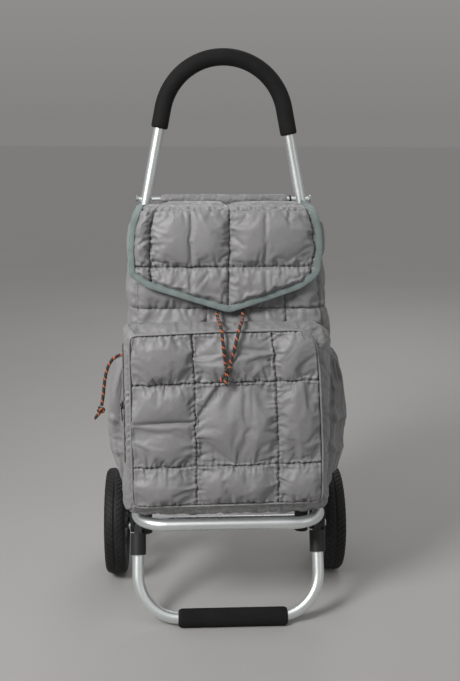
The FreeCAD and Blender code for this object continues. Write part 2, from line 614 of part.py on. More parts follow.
def make_flap():
    """Cover over the bag's mouth with a pointed tongue down its front."""
    under = f"({BAG_TOP} + flap_thick)"
    top = FLAP_TOP
    hinge_y = f"({bag_back(BAG_TOP)} - flap_hinge_radius)"
    flap = new_body("bag_flap")
    tongue = new_sketch(flap, "flap_tongue", "XZ_Plane", f"-({FLAP_FACE})")
    polygon(tongue, [("-flap_half", top), ("-flap_half", f"{top} - flap_drop"),
                     ("0", f"{top} - flap_tip_drop"), ("flap_half", f"{top} - flap_drop"),
                     ("flap_half", top)])
    pad(flap, tongue, "flap_thick")
    cover = new_sketch(flap, "flap_cover", "YZ_Plane", "-flap_half")
    polygon(cover, [(f"{FLAP_FACE} - flap_thick", under), (hinge_y, under), (hinge_y, top),
                    (f"{FLAP_FACE} - flap_thick", top)])
    pad(flap, cover, "2 * flap_half")

    binding = new_body("flap_binding")
    strip = new_sketch(binding, "binding_outline", "XZ_Plane", f"-({FLAP_FACE} - flap_thick)")
    inner = "(flap_half - binding_width)"
    rise = "(binding_width / cos(18.5))"
    polygon(strip, [("-flap_half", top), ("-flap_half", f"{top} - flap_drop"),
                    ("0", f"{top} - flap_tip_drop"), ("flap_half", f"{top} - flap_drop"),
                    ("flap_half", top), (inner, top), (inner, f"{top} - flap_drop + {rise} / 2"),
                    ("0", f"{top} - flap_tip_drop + {rise}"),
                    (f"-{inner}", f"{top} - flap_drop + {rise} / 2"), (f"-{inner}", top)])
    pad(binding, strip, "binding_thick")


def make_front_pocket():
    low, high = POCKET_LOW, POCKET_HIGH
    back = f"({BAG_FRONT} - soft_gap)"
    pouch = side_profile_pad("pocket_pouch",
                             [(POCKET_FRONT, f"{low} + 10"), (f"{POCKET_FRONT} + 10", low),
                              (back, low), (back, high), (f"{POCKET_FRONT} + 10", high),
                              (POCKET_FRONT, f"{high} - 10")], "-pocket_half", "pocket_half")
    hollow = new_sketch(pouch, "pocket_hollow", "YZ_Plane", "0")
    polygon(hollow, [(f"{POCKET_FRONT} + pocket_wall", f"{low} + 12"),
                     (f"{POCKET_FRONT} + 12", f"{low} + pocket_wall"),
                     (f"{back} - pocket_wall", f"{low} + pocket_wall"),
                     (f"{back} - pocket_wall", f"{high} - pocket_wall"),
                     (f"{POCKET_FRONT} + 12", f"{high} - pocket_wall"),
                     (f"{POCKET_FRONT} + pocket_wall", f"{high} - 12")])
    pocket(pouch, hollow, "2 * (pocket_half - pocket_wall)")
    slit = box("pocket_slit", ("-pocket_half - 1", f"{ZIP_Y} - slit_width / 2", f"{ZIP_LOW} + 8"),
               ("-pocket_half + 2 * pocket_wall", f"{ZIP_Y} + slit_width / 2", f"{ZIP_HIGH} - 8"))
    cut("front_pocket", pouch, slit)
    box("pocket_piping", ("-pocket_half + 8", f"{POCKET_FRONT} + 12", f"{high}"),
        ("pocket_half - 8", f"{POCKET_FRONT} + 12 + piping_thick", f"{high} + piping_thick"))


def make_side_pocket(side, sign):
    """Bulging patch pocket with an open mouth at its top."""
    low, high = POCKET_LOW, f"({POCKET_LOW} + side_height)"
    wall, depth = "(bag_half + soft_gap)", f"({AXLE_Y} - side_front)"
    outer = [(wall, low), (f"{wall} + side_mouth", low),
             (f"{wall} + side_bulge", f"{low} + 0.35 * side_height"),
             (f"{wall} + side_bulge", f"{low} + 0.55 * side_height"), (f"{wall} + side_mouth", high),
             (wall, high)]
    inner = [(f"{wall} + side_wall", f"{low} + side_wall"),
             (f"{wall} + side_mouth - side_wall", f"{low} + side_wall"),
             (f"{wall} + side_bulge - side_wall", f"{low} + 0.35 * side_height"),
             (f"{wall} + side_bulge - side_wall", f"{low} + 0.55 * side_height"),
             (f"{wall} + side_mouth - side_wall", f"{high} + 1"), (f"{wall} + side_wall", f"{high} + 1")]
    if sign == "-1":
        outer, inner = ([(f"-({x})", z) for x, z in points] for points in (outer, inner))
    body = new_body(f"side_pocket_{side}")
    shell = new_sketch(body, f"side_shell_{side}", "XZ_Plane", f"-({AXLE_Y} - side_back)")
    polygon(shell, outer)
    pad(body, shell, "side_front - side_back")
    hollow = new_sketch(body, f"side_hollow_{side}", "XZ_Plane",
                        f"-({AXLE_Y} - (side_front + side_back) / 2)")
    polygon(hollow, inner)
    pocket(body, hollow, "side_front - side_back - 2 * side_wall")


def make_zip():
    """Upright zip on the pocket's left gusset, with its slider and pull."""
    face = "(-pocket_half)"
    middle = ZIP_Y
    box("zip_tape", (f"{face} - zip_thick", f"{middle} - zip_width / 2", ZIP_LOW),
        (face, f"{middle} + zip_width / 2", ZIP_HIGH))
    outside = f"({face} - zip_thick - 0.3)"
    box("zip_slider", (f"{outside} - 4", f"{middle} - 4.5", "slider_z"),
        (outside, f"{middle} + 4.5", "slider_z + slider_height"))
    box("zip_pull", (f"{outside} - 5.5", f"{middle} - 3.5", "slider_z + slider_height / 2 - pull_length"),
        (f"{outside} - 4", f"{middle} + 3.5", "slider_z + slider_height / 2"))


def make_cord_guides():
    back = f"({BAG_FRONT} - soft_gap)"
    tabs = []
    for side, sign in (("left", "-1"), ("right", "1")):
        middle = f"{sign} * guide_half"
        tabs.append(box(f"guide_tab_{side}",
                        (f"{middle} - guide_width / 2", f"{back} - guide_thick", "guide_low"),
                        (f"{middle} + guide_width / 2", back, "guide_low + guide_height")))
    group("drawcord_guides", *tabs)
    box("side_cord_guide", ("-pocket_half", f"{BAG_FRONT} + soft_gap", "side_guide_z - 7"),
        ("-bag_half - soft_gap", f"{AXLE_Y} - side_front - soft_gap", "side_guide_z + 7"))


def make_crossbar_sleeve():
    sleeve = rod("sleeve_outer", "sleeve_radius", "-sleeve_half", "sleeve_half", CROSSBAR_Y, CROSSBAR_Z)
    hole = rod("sleeve_hole", "crossbar_radius + soft_gap", "-sleeve_half - 1", "sleeve_half + 1",
               CROSSBAR_Y, CROSSBAR_Z)
    cut("crossbar_sleeve", sleeve, hole)
    ring = doc.addObject("Part::Torus", "elastic_hook")
    ring.Label = "elastic_hook"
    bind(ring, "Radius1", "hook_radius")
    bind(ring, "Radius2", "hook_wire")
    place(ring, ("sleeve_half + 6", CROSSBAR_Y, f"{CROSSBAR_Z}"), "90", Y_AXIS)


# ---- cords: routes chosen by hand, from where each cord leaves the bag to its knot ----

CORD_ROUTES = {
    "drawcord_left": [(-22, -125.3, 572), (-21.6, -126.5, 556), (-21, -134, 541),
                      (-19.5, -151, 536), (-17.5, -169, 535), (-15.5, -183, 523.5),
                      (-13.5, -187, 505), (-11.5, -186, 487), (-9.4, -184.5, 471)],
    "drawcord_right": [(22, -125.3, 572), (21.8, -126.5, 556), (21, -134, 541),
                       (18.5, -151, 536), (15, -169, 535), (10.5, -183, 523.5),
                       (6, -187, 505), (1.5, -186, 487), (-2.6, -184.5, 471)],
    "side_cord": [(-173.2, -117, 474), (-186, -118.5, 471.5), (-196.5, -121, 460),
                  (-202.5, -123.5, 442), (-205.5, -125, 422), (-207, -126, 405),
                  (-210, -126.5, 390)],
}
CORD_ENDS = {
    "drawcord": ((-6, -184, 464), [(-20, -184, 442), (-9, -185, 439)]),
    "side_cord": ((-211.5, -127, 383), [(-222, -127, 367)]),
}


def make_cord(label, points):
    """Plain round tube of straight runs joined by the largest tangent arcs that they allow."""
    spots = [V(*p) for p in points]
    runs = [(b - a).Length for a, b in zip(spots, spots[1:])]
    edges, start, radii = [], spots[0], []
    for number in range(1, len(spots) - 1):
        corner = spots[number]
        way_in = (corner - spots[number - 1]).normalize()
        way_out = (spots[number + 1] - corner).normalize()
        half_turn = way_in.getAngle(way_out) / 2
        setback = 0.45 * min(runs[number - 1], runs[number])
        radius = setback / math.tan(half_turn)
        touch_in, touch_out = corner - way_in * setback, corner + way_out * setback
        inward = (way_out - way_in).normalize()
        middle = corner + inward * (radius / math.cos(half_turn) - radius)
        edges += [Part.LineSegment(start, touch_in).toShape(),
                  Part.Arc(touch_in, middle, touch_out).toShape()]
        start = touch_out
        radii.append(radius)
    edges.append(Part.LineSegment(start, spots[-1]).toShape())
    path = Part.Wire(edges)
    cord_radius = value("cord_radius")
    section = Part.Wire(Part.makeCircle(cord_radius, spots[0], spots[1] - spots[0]))
    node = doc.addObject("Part::Feature", label)
    node.Label = label
    node.Shape = path.makePipeShell([section], True, False)
    expected = math.pi * cord_radius ** 2 * path.Length
    if abs(node.Shape.Volume / expected - 1) > 0.01:
        raise RuntimeError(label + " is not a whole tube")
    print(label, "length", round(path.Length, 1), "arc radii", [round(r, 1) for r in radii])


def make_knot(label, centre, tails):
    """Knot as a ball, with its short tails in a node of their own."""
    ball = doc.addObject("Part::Sphere", label + "_knot")
    ball.Label = label + "_knot"
    bind(ball, "Radius", "knot_radius")
    ball.Placement.Base = V(*centre)
    pieces = []
    for number, tip in enumerate(tails):
        way = V(*tip) - V(*centre)
        surface = V(*centre) + V(way).normalize() * (value("knot_radius") - 1)
        tail = doc.addObject("Part::Cylinder", f"{label}_tail_{number}")
        bind(tail, "Radius", "cord_radius")
        tail.Height = (V(*tip) - surface).Length
        tail.Placement = FreeCAD.Placement(surface, FreeCAD.Rotation(Z_AXIS, way))
        pieces.append(tail)
    tips = group(label + "_tails", *pieces) if len(pieces) > 1 else pieces[0]
    tips.Label = label + "_tails"


make_handle_frame()
make_handle_grip()
make_crossbar()
make_axle()
make_platform()
for SIDE, SIGN in (("left", "-1"), ("right", "1")):
    make_rear_bracket(SIDE, SIGN)
    make_bracket_bolts(SIDE, SIGN)
    make_wheel(SIDE, SIGN)
    make_platform_pin(SIDE, SIGN)
    make_foot_saddle(SIDE, SIGN)
    make_foot_socket(SIDE, SIGN)
    make_side_pocket(SIDE, SIGN)
make_foot()
make_bag_body()
make_base_board()
make_flap()
make_front_pocket()
make_zip()
make_cord_guides()
make_crossbar_sleeve()
for LABEL, POINTS in CORD_ROUTES.items():
    make_cord(LABEL, POINTS)
for LABEL, (CENTRE, TAILS) in CORD_ENDS.items():
    make_knot(LABEL, CENTRE, TAILS)

NODES = ["handle_frame", "handle_grip", "crossbar", "axle", "platform_frame", "platform_plugs",
         "foot_loop", "foot_pad", "bag_body", "base_board", "bag_flap", "flap_binding",
         "front_pocket", "pocket_piping", "zip_tape", "zip_slider", "zip_pull",
         "drawcord_guides", "side_cord_guide", "crossbar_sleeve", "elastic_hook",
         "drawcord_left", "drawcord_right", "side_cord", "drawcord_knot", "drawcord_tails",
         "side_cord_knot", "side_cord_tails"]
for NAME in ("crossbar_cap", "rear_bracket", "bracket_bolts", "axle_spacer", "axle_clip",
             "wheel_bush", "tyre", "wheel_rim", "hub_cap", "platform_pin", "foot_saddle",
             "foot_pin", "foot_socket", "side_pocket"):
    NODES += [NAME + "_left", NAME + "_right"]

doc.recompute()
for THING in doc.Objects:
    if "Invalid" in THING.State or "Error" in THING.State:
        raise RuntimeError(f"{THING.Label} failed: {THING.State}")

os.makedirs("parts", exist_ok=True)
for LABEL in NODES:
    THING = doc.getObjectsByLabel(LABEL)[0]
    if THING.Shape.isNull() or not THING.Shape.isValid() or not THING.Shape.Solids:
        raise RuntimeError(f"{LABEL} has no valid solid")
    THING.Shape.exportStep(f"parts/{LABEL}.step")
print(len(NODES), "nodes written")
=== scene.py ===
# %% [markdown]
# # Folding shopping trolley: the looks
# The tube frame, the hinges and the wheels come from a CAD model and keep their places.
# This script gives them their finishes and makes the parts that a CAD solid can't show well: the quilted bag,
# its binding, cords and zip, the foam grips and the tyres. All of it is in metres, in the CAD model's frame.

# %% Load the frame
import json
import math
import random

import bpy
import numpy as np
from mathutils import Matrix, Vector, noise

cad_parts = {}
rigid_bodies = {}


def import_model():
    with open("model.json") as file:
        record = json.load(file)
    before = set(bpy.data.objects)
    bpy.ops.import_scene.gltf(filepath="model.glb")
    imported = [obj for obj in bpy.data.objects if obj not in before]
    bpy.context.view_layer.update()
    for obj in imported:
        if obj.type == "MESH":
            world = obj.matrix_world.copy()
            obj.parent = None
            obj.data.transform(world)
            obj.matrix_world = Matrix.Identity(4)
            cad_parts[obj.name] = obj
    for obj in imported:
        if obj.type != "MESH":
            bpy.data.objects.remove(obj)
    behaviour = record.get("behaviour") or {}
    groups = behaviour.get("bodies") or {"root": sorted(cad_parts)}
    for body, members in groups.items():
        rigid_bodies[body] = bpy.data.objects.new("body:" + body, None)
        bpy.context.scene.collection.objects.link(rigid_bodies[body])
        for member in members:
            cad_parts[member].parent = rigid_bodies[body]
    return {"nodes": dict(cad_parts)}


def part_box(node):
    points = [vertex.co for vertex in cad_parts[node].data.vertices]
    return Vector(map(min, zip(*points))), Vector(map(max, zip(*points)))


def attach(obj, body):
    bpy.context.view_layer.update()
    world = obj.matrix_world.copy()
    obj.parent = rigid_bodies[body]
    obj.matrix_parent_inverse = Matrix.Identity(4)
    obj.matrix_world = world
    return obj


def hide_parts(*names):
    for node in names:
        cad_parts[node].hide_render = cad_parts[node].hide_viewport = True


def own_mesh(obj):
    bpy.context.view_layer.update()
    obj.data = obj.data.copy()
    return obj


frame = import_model()
bpy.context.view_layer.update()
nodes = frame["nodes"]

# %% [markdown]
# Most numbers below are workshop sizes in millimetres, so one helper turns them into metres. Operators act on
# whatever is selected, so everything is deselected before each primitive.

# %% Small helpers
MM = 0.001
LEAN = math.radians(3)


def mm(x, y, z):
    return Vector((x, y, z)) * MM


def mix(a, b, share):
    return a + (b - a) * share


def smooth(x):
    x = min(1.0, max(0.0, x))
    return x * x * (3 - 2 * x)


def along(x, table):
    """Value at x of a table of (x, value) rows, joined by straight lines."""
    if x <= table[0][0]:
        return table[0][1]
    for (x0, y0), (x1, y1) in zip(table, table[1:]):
        if x <= x1:
            return mix(y0, y1, (x - x0) / (x1 - x0))
    return table[-1][1]


def select_only(thing):
    if bpy.context.mode != "OBJECT":
        bpy.ops.object.mode_set(mode="OBJECT")
    bpy.ops.object.select_all(action="DESELECT")
    if thing is not None:
        thing.hide_set(False)
        thing.select_set(True)
        bpy.context.view_layer.objects.active = thing


def new_mesh(name, points, faces):
    mesh = bpy.data.meshes.new(name)
    mesh.from_pydata([tuple(p) for p in points], [], faces)
    mesh.validate()
    thing = bpy.data.objects.new(name, mesh)
    bpy.context.scene.collection.objects.link(thing)
    return thing


def apply_modifiers(thing):
    select_only(thing)
    for modifier in list(thing.modifiers):
        bpy.ops.object.modifier_apply(modifier=modifier.name)


def round_off(thing):
    """One level of subdivision, applied."""
    rounder = thing.modifiers.new("rounder", "SUBSURF")
    rounder.levels = rounder.render_levels = 1
    apply_modifiers(thing)


def edit_all(thing):
    """Open a mesh for editing, with all of it selected."""
    select_only(thing)
    bpy.ops.object.mode_set(mode="EDIT")
    bpy.ops.mesh.select_all(action="SELECT")


def face_outwards(thing):
    """Turn the faces of a closed shell outwards."""
    edit_all(thing)
    bpy.ops.mesh.normals_make_consistent(inside=False)
    bpy.ops.object.mode_set(mode="OBJECT")


def named_primitive(name):
    """The primitive that was just added, named, with its place and size in its mesh."""
    thing = bpy.context.object
    thing.name = name
    bpy.ops.object.transform_apply(location=True, rotation=True, scale=True)
    return thing


def placed_copy(thing, matrix):
    copy = thing.copy()
    copy.data = thing.data.copy()
    copy.data.transform(matrix)
    bpy.context.scene.collection.objects.link(copy)
    return copy


def give_uv(thing, name, uvs):
    layer = thing.data.uv_layers.new(name=name)
    for loop, uv in zip(layer.data, uvs):
        loop.uv = uv


def smooth_faces(thing, angle=None):
    select_only(thing)
    if angle is None:
        bpy.ops.object.shade_smooth()
    else:
        bpy.ops.object.shade_smooth_by_angle(angle=math.radians(angle))


def finish_piece(thing, body, finish, replaced=()):
    """Give a piece its material and the body that it moves with."""
    thing.data.materials.clear()
    thing.data.materials.append(finish)
    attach(thing, body)
    if replaced:
        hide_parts(*replaced)
    return thing


flap_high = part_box("bag_flap")[1]
axle_low, axle_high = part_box("axle")
axle = (axle_low + axle_high) / 2

# %% [markdown]
# The camera stands a little to the left of the trolley, above the middle of the bag, and looks slightly down.

# %% Camera
camera = bpy.data.objects.new("camera", bpy.data.cameras.new("camera"))
bpy.context.scene.collection.objects.link(camera)
camera.location = mm(-77.85, -1629.74, 846.97)
camera.rotation_euler = (math.pi / 2 - 0.2279, -0.0039, -0.0511)
camera.data.sensor_width = 36
camera.data.lens = 50.25
bpy.context.scene.camera = camera

# %% [markdown]
# A drawcord is a round braid. Its line is one smooth NURBS curve through the air and over the pocket, given
# by a few control points from where it leaves the bag to its knot. The curve is read back as points, and a
# tube with its own UV map follows them, so that the braid and its coloured tracer can turn round the cord.

# %% Cord routes
CORD_RADIUS = 2.75 * MM
PATH_STEP = 0.0009
BRAID_RELIEF = 0.035
KNOT_SIZE, KNOT_RADIUS = 1.62 * MM, 2.5 * MM
TAIL_RADIUS = CORD_RADIUS * 0.97
ROUTES = {
    "drawcord_left": [(-22, -125.3, 572), (-21.6, -126.5, 556), (-21, -134, 541),
                      (-19.5, -151, 536), (-17.5, -169, 535), (-15.5, -183, 523.5),
                      (-13.5, -187, 505), (-11.5, -186, 487), (-9.4, -184.5, 471)],
    "drawcord_right": [(22, -125.3, 572), (21.8, -126.5, 556), (21, -134, 541),
                       (18.5, -151, 536), (15, -169, 535), (10.5, -183, 523.5),
                       (6, -187, 505), (1.5, -186, 487), (-2.6, -184.5, 471)],
    "side_cord": [(-173.2, -117, 474), (-186, -118.5, 471.5), (-196.5, -121, 460),
                  (-202.5, -123.5, 442), (-205.5, -125, 422), (-207, -126, 405),
                  (-210, -126.5, 390)],
}


def spline_points(points, order=3, finer=12):
    """Points along the smooth curve that a row of control points pulls."""
    curve = bpy.data.curves.new("route", "CURVE")
    curve.dimensions = "3D"
    spline = curve.splines.new("NURBS")
    spline.points.add(len(points) - 1)
    for knot, point in zip(spline.points, points):
        knot.co = (*point, 1)
    spline.order_u = order
    spline.use_endpoint_u = True
    spline.resolution_u = finer
    holder = bpy.data.objects.new("route", curve)
    mesh = bpy.data.meshes.new_from_object(holder)
    found = [v.co.copy() for v in mesh.vertices]
    bpy.data.meshes.remove(mesh)
    bpy.data.objects.remove(holder)
    bpy.data.curves.remove(curve)
    return found


def evenly(points, step):
    """The same line with points a fixed step apart."""
    found, left = [points[0]], step
    for a, b in zip(points, points[1:]):
        run = (b - a).length
        while run >= left and run > 1e-9:
            a = a + (b - a) * (left / run)
            run = (b - a).length
            found.append(a.copy())
            left = step
        left -= run
    if (found[-1] - points[-1]).length > step * 0.3:
        found.append(points[-1])
    return found


def tube(name, path, radius, sides=20, closed=False, ends=None, braid=0.0, pitch=0.008):
    """Round tube along a path. U goes round it once and V is the length along it in metres."""
    count = len(path)
    points, faces, uvs = [], [], []
    ways = []
    for k in range(count):
        before, after = (path[k - 1], path[(k + 1) % count]) if closed else (
            path[max(0, k - 1)], path[min(count - 1, k + 1)])
        ways.append((after - before).normalized())
    side = ways[0].orthogonal().normalized()
    frames, length, lengths = [], 0.0, []
    for k in range(count):
        if k:
            turn = ways[k - 1].rotation_difference(ways[k])
            side = (turn @ side)
            side = (side - ways[k] * side.dot(ways[k])).normalized()
            length += (path[k] - path[k - 1]).length
        frames.append((side.copy(), ways[k].cross(side)))
        lengths.append(length)
    total = lengths[-1] + ((path[0] - path[-1]).length if closed else 0)
    for k in range(count):
        a, b = frames[k]
        size = radius if ends is None else radius * ends(lengths[k], total)
        for n in range(sides):
            turn = 2 * math.pi * n / sides
            lift = 1 + braid * math.sin(6 * turn + 2 * math.pi * lengths[k] / pitch) * math.sin(
                6 * turn - 2 * math.pi * lengths[k] / pitch)
            points.append(path[k] + (a * math.cos(turn) + b * math.sin(turn)) * size * lift)
    rings = count if closed else count - 1
    for k in range(rings):
        for n in range(sides):
            m, j = (n + 1) % sides, (k + 1) % count
            faces.append((k * sides + n, k * sides + m, j * sides + m, j * sides + n))
            low, high = lengths[k], lengths[k + 1] if k + 1 < count else total
            uvs += [(n / sides, low), ((n + 1) / sides, low), ((n + 1) / sides, high), (n / sides, high)]
    if not closed:
        for k, order in ((0, -1), (count - 1, 1)):
            points.append(path[k])
            centre = len(points) - 1
            for n in range(sides):
                m = (n + 1) % sides
                ring = (k * sides + n, k * sides + m)[::order]
                faces.append((*ring, centre))
                uvs += [(n / sides, lengths[k])] * 3
    thing = new_mesh(name, points, faces)
    give_uv(thing, "along", uvs)
    smooth_faces(thing)
    return thing

# %% [markdown]
# ## Finishes
# Every finish is a small network of nodes. Shader sums read better as Python: a Socket wraps one output,
# and adding or multiplying sockets adds the Math nodes. All other nodes come from one method that takes a
# node's type, its settings and what goes into its sockets.

# %% Shader sums
class Socket:
    """One output of a node, for use in sums."""

    def __init__(self, finish, output):
        self.finish, self.output = finish, output

    def math(self, operation, *others):
        sockets = {k: v for k, v in enumerate((self, *others))}
        return self.finish.node("ShaderNodeMath", {"operation": operation}, sockets)

    def __add__(self, other):
        return self.math("ADD", other)

    def __mul__(self, other):
        return self.math("MULTIPLY", other)

    def __sub__(self, other):
        return self.math("SUBTRACT", other)

    def __rsub__(self, other):
        return self.finish.node("ShaderNodeMath", {"operation": "SUBTRACT"}, {0: other, 1: self})

    def __truediv__(self, other):
        return self.math("DIVIDE", other)

    def __pow__(self, other):
        return self.math("POWER", other)

    __radd__, __rmul__ = __add__, __mul__

    def ramp(self, low, high, start=0.0, stop=1.0):
        """Turn a span of this value into another, held at its ends."""
        return self.finish.node("ShaderNodeMapRange", {"clamp": True},
                                {0: self, 1: low, 2: high, 3: start, 4: stop})


class Finish:
    """A material in the making, with its Principled shader."""

    def __init__(self, name, **constants):
        self.material = bpy.data.materials.new(name)
        self.material.use_nodes = True
        self.tree = self.material.node_tree
        self.shader = self.tree.nodes["Principled BSDF"]
        for socket, value in constants.items():
            self.shader.inputs[socket.replace("_", " ")].default_value = value

    def node(self, kind, settings, sockets, output=0):
        made = self.tree.nodes.new(kind)
        for name, value in settings.items():
            setattr(made, name, value)
        for name, value in sockets.items():
            if isinstance(value, Socket):
                self.tree.links.new(value.output, made.inputs[name])
            else:
                made.inputs[name].default_value = value
        return Socket(self, made.outputs[output])

    def feed(self, **sockets):
        for name, value in sockets.items():
            self.tree.links.new(value.output, self.shader.inputs[name.replace("_", " ")])
        return self.material

    def place(self, scale=(1, 1, 1), turn=(0, 0, 0), on="Object"):
        at = self.node("ShaderNodeTexCoord", {}, {}, on)
        return self.node("ShaderNodeMapping", {}, {"Vector": at, "Rotation": turn, "Scale": scale})

    def noise(self, at, scale, detail=3.0, rough=0.5, twist=0.0):
        return self.node("ShaderNodeTexNoise", {}, {"Vector": at, "Scale": scale, "Detail": detail,
                                                    "Roughness": rough, "Distortion": twist})

    def wave(self, way, at, scale, **more):
        sockets = {name.replace("_", " "): value for name, value in more.items()}
        return self.node("ShaderNodeTexWave", {"bands_direction": way},
                         {"Vector": at, "Scale": scale, "Detail": 1.0, **sockets}, "Fac")

    def blend(self, share, first, second):
        return self.node("ShaderNodeMix", {"data_type": "RGBA"}, {0: share, 6: first, 7: second}, 2)

    def bump(self, height, depth, strength=1.0, over=None):
        sockets = {"Height": height, "Distance": depth, "Strength": strength}
        if over is not None:
            sockets["Normal"] = over
        return self.node("ShaderNodeBump", {}, sockets)


def grey(level, warm=0.0):
    return (level * (1 + warm), level, level * (1 - warm), 1)

# %% [markdown]
# The bag is a plain-woven nylon with a soft satin shine, padded and stitched in squares. The weave is too
# fine to see from afar, so it is a low bump on the cloth's own coordinates. What shows is the crumpling:
# small creases near each seam, where the thread holds the cloth short, and a darker valley along the
# stitches, which is painted shade for the shadow that falls in the seam grooves.

# %% Quilted nylon
WAVE_SIZE = 0.314  # scale of a wave texture whose bands are one unit apart


def nylon(name, colour, shade, weave=0.00035, crumple=1.0):
    made = Finish(name, Specular_IOR_Level=0.42, Sheen_Weight=0.18, Sheen_Roughness=0.45)
    flat = made.node("ShaderNodeUVMap", {"uv_map": "cloth"}, {})
    across, upward = (made.wave(way, flat, WAVE_SIZE / weave, Distortion=0.6, Detail_Scale=0.3)
                      for way in "XY")
    threads = across.math("MAXIMUM", upward)
    seam = made.node("ShaderNodeAttribute", {"attribute_name": "seam"}, {}, "Fac")
    at = made.place()
    broad = made.noise(at, 9, 2)
    creases = made.noise(at, 55, 4, 0.55, 0.9)
    fine = made.noise(at, 210, 3, 0.6, 0.5)
    ridges = (1 - (creases * 2 - 1).math("ABSOLUTE")) ** 3
    near = seam.ramp(0.02, 0.75)
    tone = (broad.ramp(0.3, 0.7) * 0.55 + fine * 0.2 + ridges * 0.25)
    base = made.blend(tone, shade, colour)
    # Painted shade: the seam valleys are darkened towards a third of the shade colour, for the shadow that
    # falls in the stitched grooves.
    valley = seam.ramp(0.82, 1.0)
    seam_shade_colour = [c * 0.34 for c in shade[:3]] + [1]
    wear_and_seam_shade = made.blend(valley * 0.85, base, seam_shade_colour)
    rough = 0.5 + fine * 0.12 - ridges * 0.06 + valley * 0.25
    relief = made.bump(ridges * (0.25 + near * 0.75) + creases * 0.35, 0.0011 * crumple, 0.55)
    relief = made.bump(fine, 0.0003, 0.35, relief)
    relief = made.bump(threads, 0.00006, 0.35, relief)
    return made.feed(Base_Color=wear_and_seam_shade, Roughness=rough, Normal=relief)


puffer = nylon("puffer", (0.254, 0.251, 0.254, 1), (0.180, 0.177, 0.180, 1))
hem_cloth = nylon("hem_cloth", (0.262, 0.259, 0.260, 1), (0.200, 0.197, 0.198, 1), crumple=0.5)

# %% [markdown]
# The flap is bound with a ribbed tape in a grey sage green. Its ribs run across the tape, and the cloth
# underneath pulls it into faint waves.

# %% Binding tape and thread
def tape_cloth(name, colour, shade, rib=0.0011):
    made = Finish(name, Specular_IOR_Level=0.35, Sheen_Weight=0.12)
    flat = made.node("ShaderNodeUVMap", {"uv_map": "cloth"}, {})
    ribs = made.wave("Y", flat, WAVE_SIZE / rib, Distortion=0.4)
    across = made.wave("X", flat, WAVE_SIZE / (rib * 0.45), Distortion=0.4)
    at = made.place()
    wear_and_seam_shade, speck = made.noise(at, 38, 4), made.noise(at, 420, 2)
    base = made.blend(wear_and_seam_shade.ramp(0.3, 0.7) * 0.6 + speck * 0.25 + ribs * 0.15, shade, colour)
    rough = 0.68 + speck * 0.15
    relief = made.bump(ribs + across * 0.4, 0.00012, 0.6)
    relief = made.bump(wear_and_seam_shade, 0.0008, 0.3, relief)
    return made.feed(Base_Color=base, Roughness=rough, Normal=relief)


binding_tape = tape_cloth("binding_tape", (0.215, 0.262, 0.255, 1), (0.15, 0.185, 0.18, 1))
zip_web = tape_cloth("zip_web", grey(0.16), grey(0.1), 0.0007)


def thread_finish(name, colour):
    made = Finish(name, Sheen_Weight=0.2)
    at = made.place()
    fuzz = made.noise(at, 900, 2)
    base = made.blend(fuzz, [c * 0.6 for c in colour[:3]] + [1], colour)
    return made.feed(Base_Color=base, Roughness=0.6 + fuzz * 0.2, Normal=made.bump(fuzz, 0.0001, 0.5))


green_thread = thread_finish("green_thread", (0.13, 0.165, 0.155, 1))

# %% [markdown]
# The tubes are drawn aluminium with a satin anodised skin: a very pale grey with a hint of green, long
# faint draw lines along each tube, and small handling marks. Each tube runs another way, so the lines are
# turned to suit.

# %% Metals
def satin_tube(name, stretch, turn=(0, 0, 0)):
    made = Finish(name, Coat_Weight=0.12, Coat_Roughness=0.3)
    lines = made.noise(made.place(stretch, turn), 1.0, 4, 0.6)
    at = made.place()
    marks = made.noise(at, 60, 5, 0.65)
    haze = made.noise(at, 14, 3)
    base = made.blend(lines * 0.5 + haze * 0.5, (0.69, 0.735, 0.725, 1), (0.83, 0.865, 0.855, 1))
    scuffed = made.blend(marks.ramp(0.66, 0.74) * 0.5, base, (0.55, 0.57, 0.565, 1))
    rough = 0.3 + lines * 0.12 + haze * 0.08 + marks.ramp(0.62, 0.75) * 0.12
    metal = 0.94 - haze * 0.08
    relief = made.bump(lines, 0.00004, 0.4)
    return made.feed(Base_Color=scuffed, Roughness=rough, Metallic=metal, Normal=relief)


def plated(name, colour, shade, rough_low, rough_high):
    made = Finish(name)
    at = made.place()
    cloud, grain = made.noise(at, 120, 4), made.noise(at, 900, 2)
    base = made.blend(cloud, shade, colour)
    rough = cloud.ramp(0.3, 0.7, rough_low, rough_high)
    return made.feed(Base_Color=base, Roughness=rough, Metallic=0.9 + cloud * 0.1,
                     Normal=made.bump(grain, 0.00003, 0.5))


upright_tube = satin_tube("upright_tube", (900, 900, 14), (LEAN, 0, 0))
platform_tube = satin_tube("platform_tube", (60, 60, 900))
foot_tube = satin_tube("foot_tube", (700, 700, 16), (-math.radians(22.5), 0, 0))
cross_tube = satin_tube("cross_tube", (14, 900, 900))
zinc = plated("zinc", (0.62, 0.63, 0.64, 1), (0.42, 0.43, 0.45, 1), 0.22, 0.42)
dark_metal = plated("dark_metal", (0.05, 0.05, 0.052, 1), (0.025, 0.025, 0.027, 1), 0.3, 0.5)

# %% [markdown]
# Brackets, sockets, caps and rims are moulded in black plastic with a fine spark-eroded grain. The foam is
# closed cell: matt black, with tiny open pores and a few dull rubbed patches. The tyres are black rubber,
# greyer where dust sits.

# %% Black parts
def moulded(name, level=0.01):
    made = Finish(name, Specular_IOR_Level=0.45)
    at = made.place()
    grain = made.node("ShaderNodeTexVoronoi", {}, {"Vector": at, "Scale": 1600.0}, "Distance")
    cloud, scuffs = made.noise(at, 35, 3), made.noise(at, 110, 5, 0.7)
    base = made.blend(cloud.ramp(0.3, 0.7), grey(level), grey(level * 1.7))
    base = made.blend(scuffs.ramp(0.64, 0.75) * 0.35, base, grey(0.07, 0.02))
    rough = 0.42 + cloud * 0.14 + scuffs * 0.1
    return made.feed(Base_Color=base, Roughness=rough, Normal=made.bump(grain, 0.00006, 0.6))


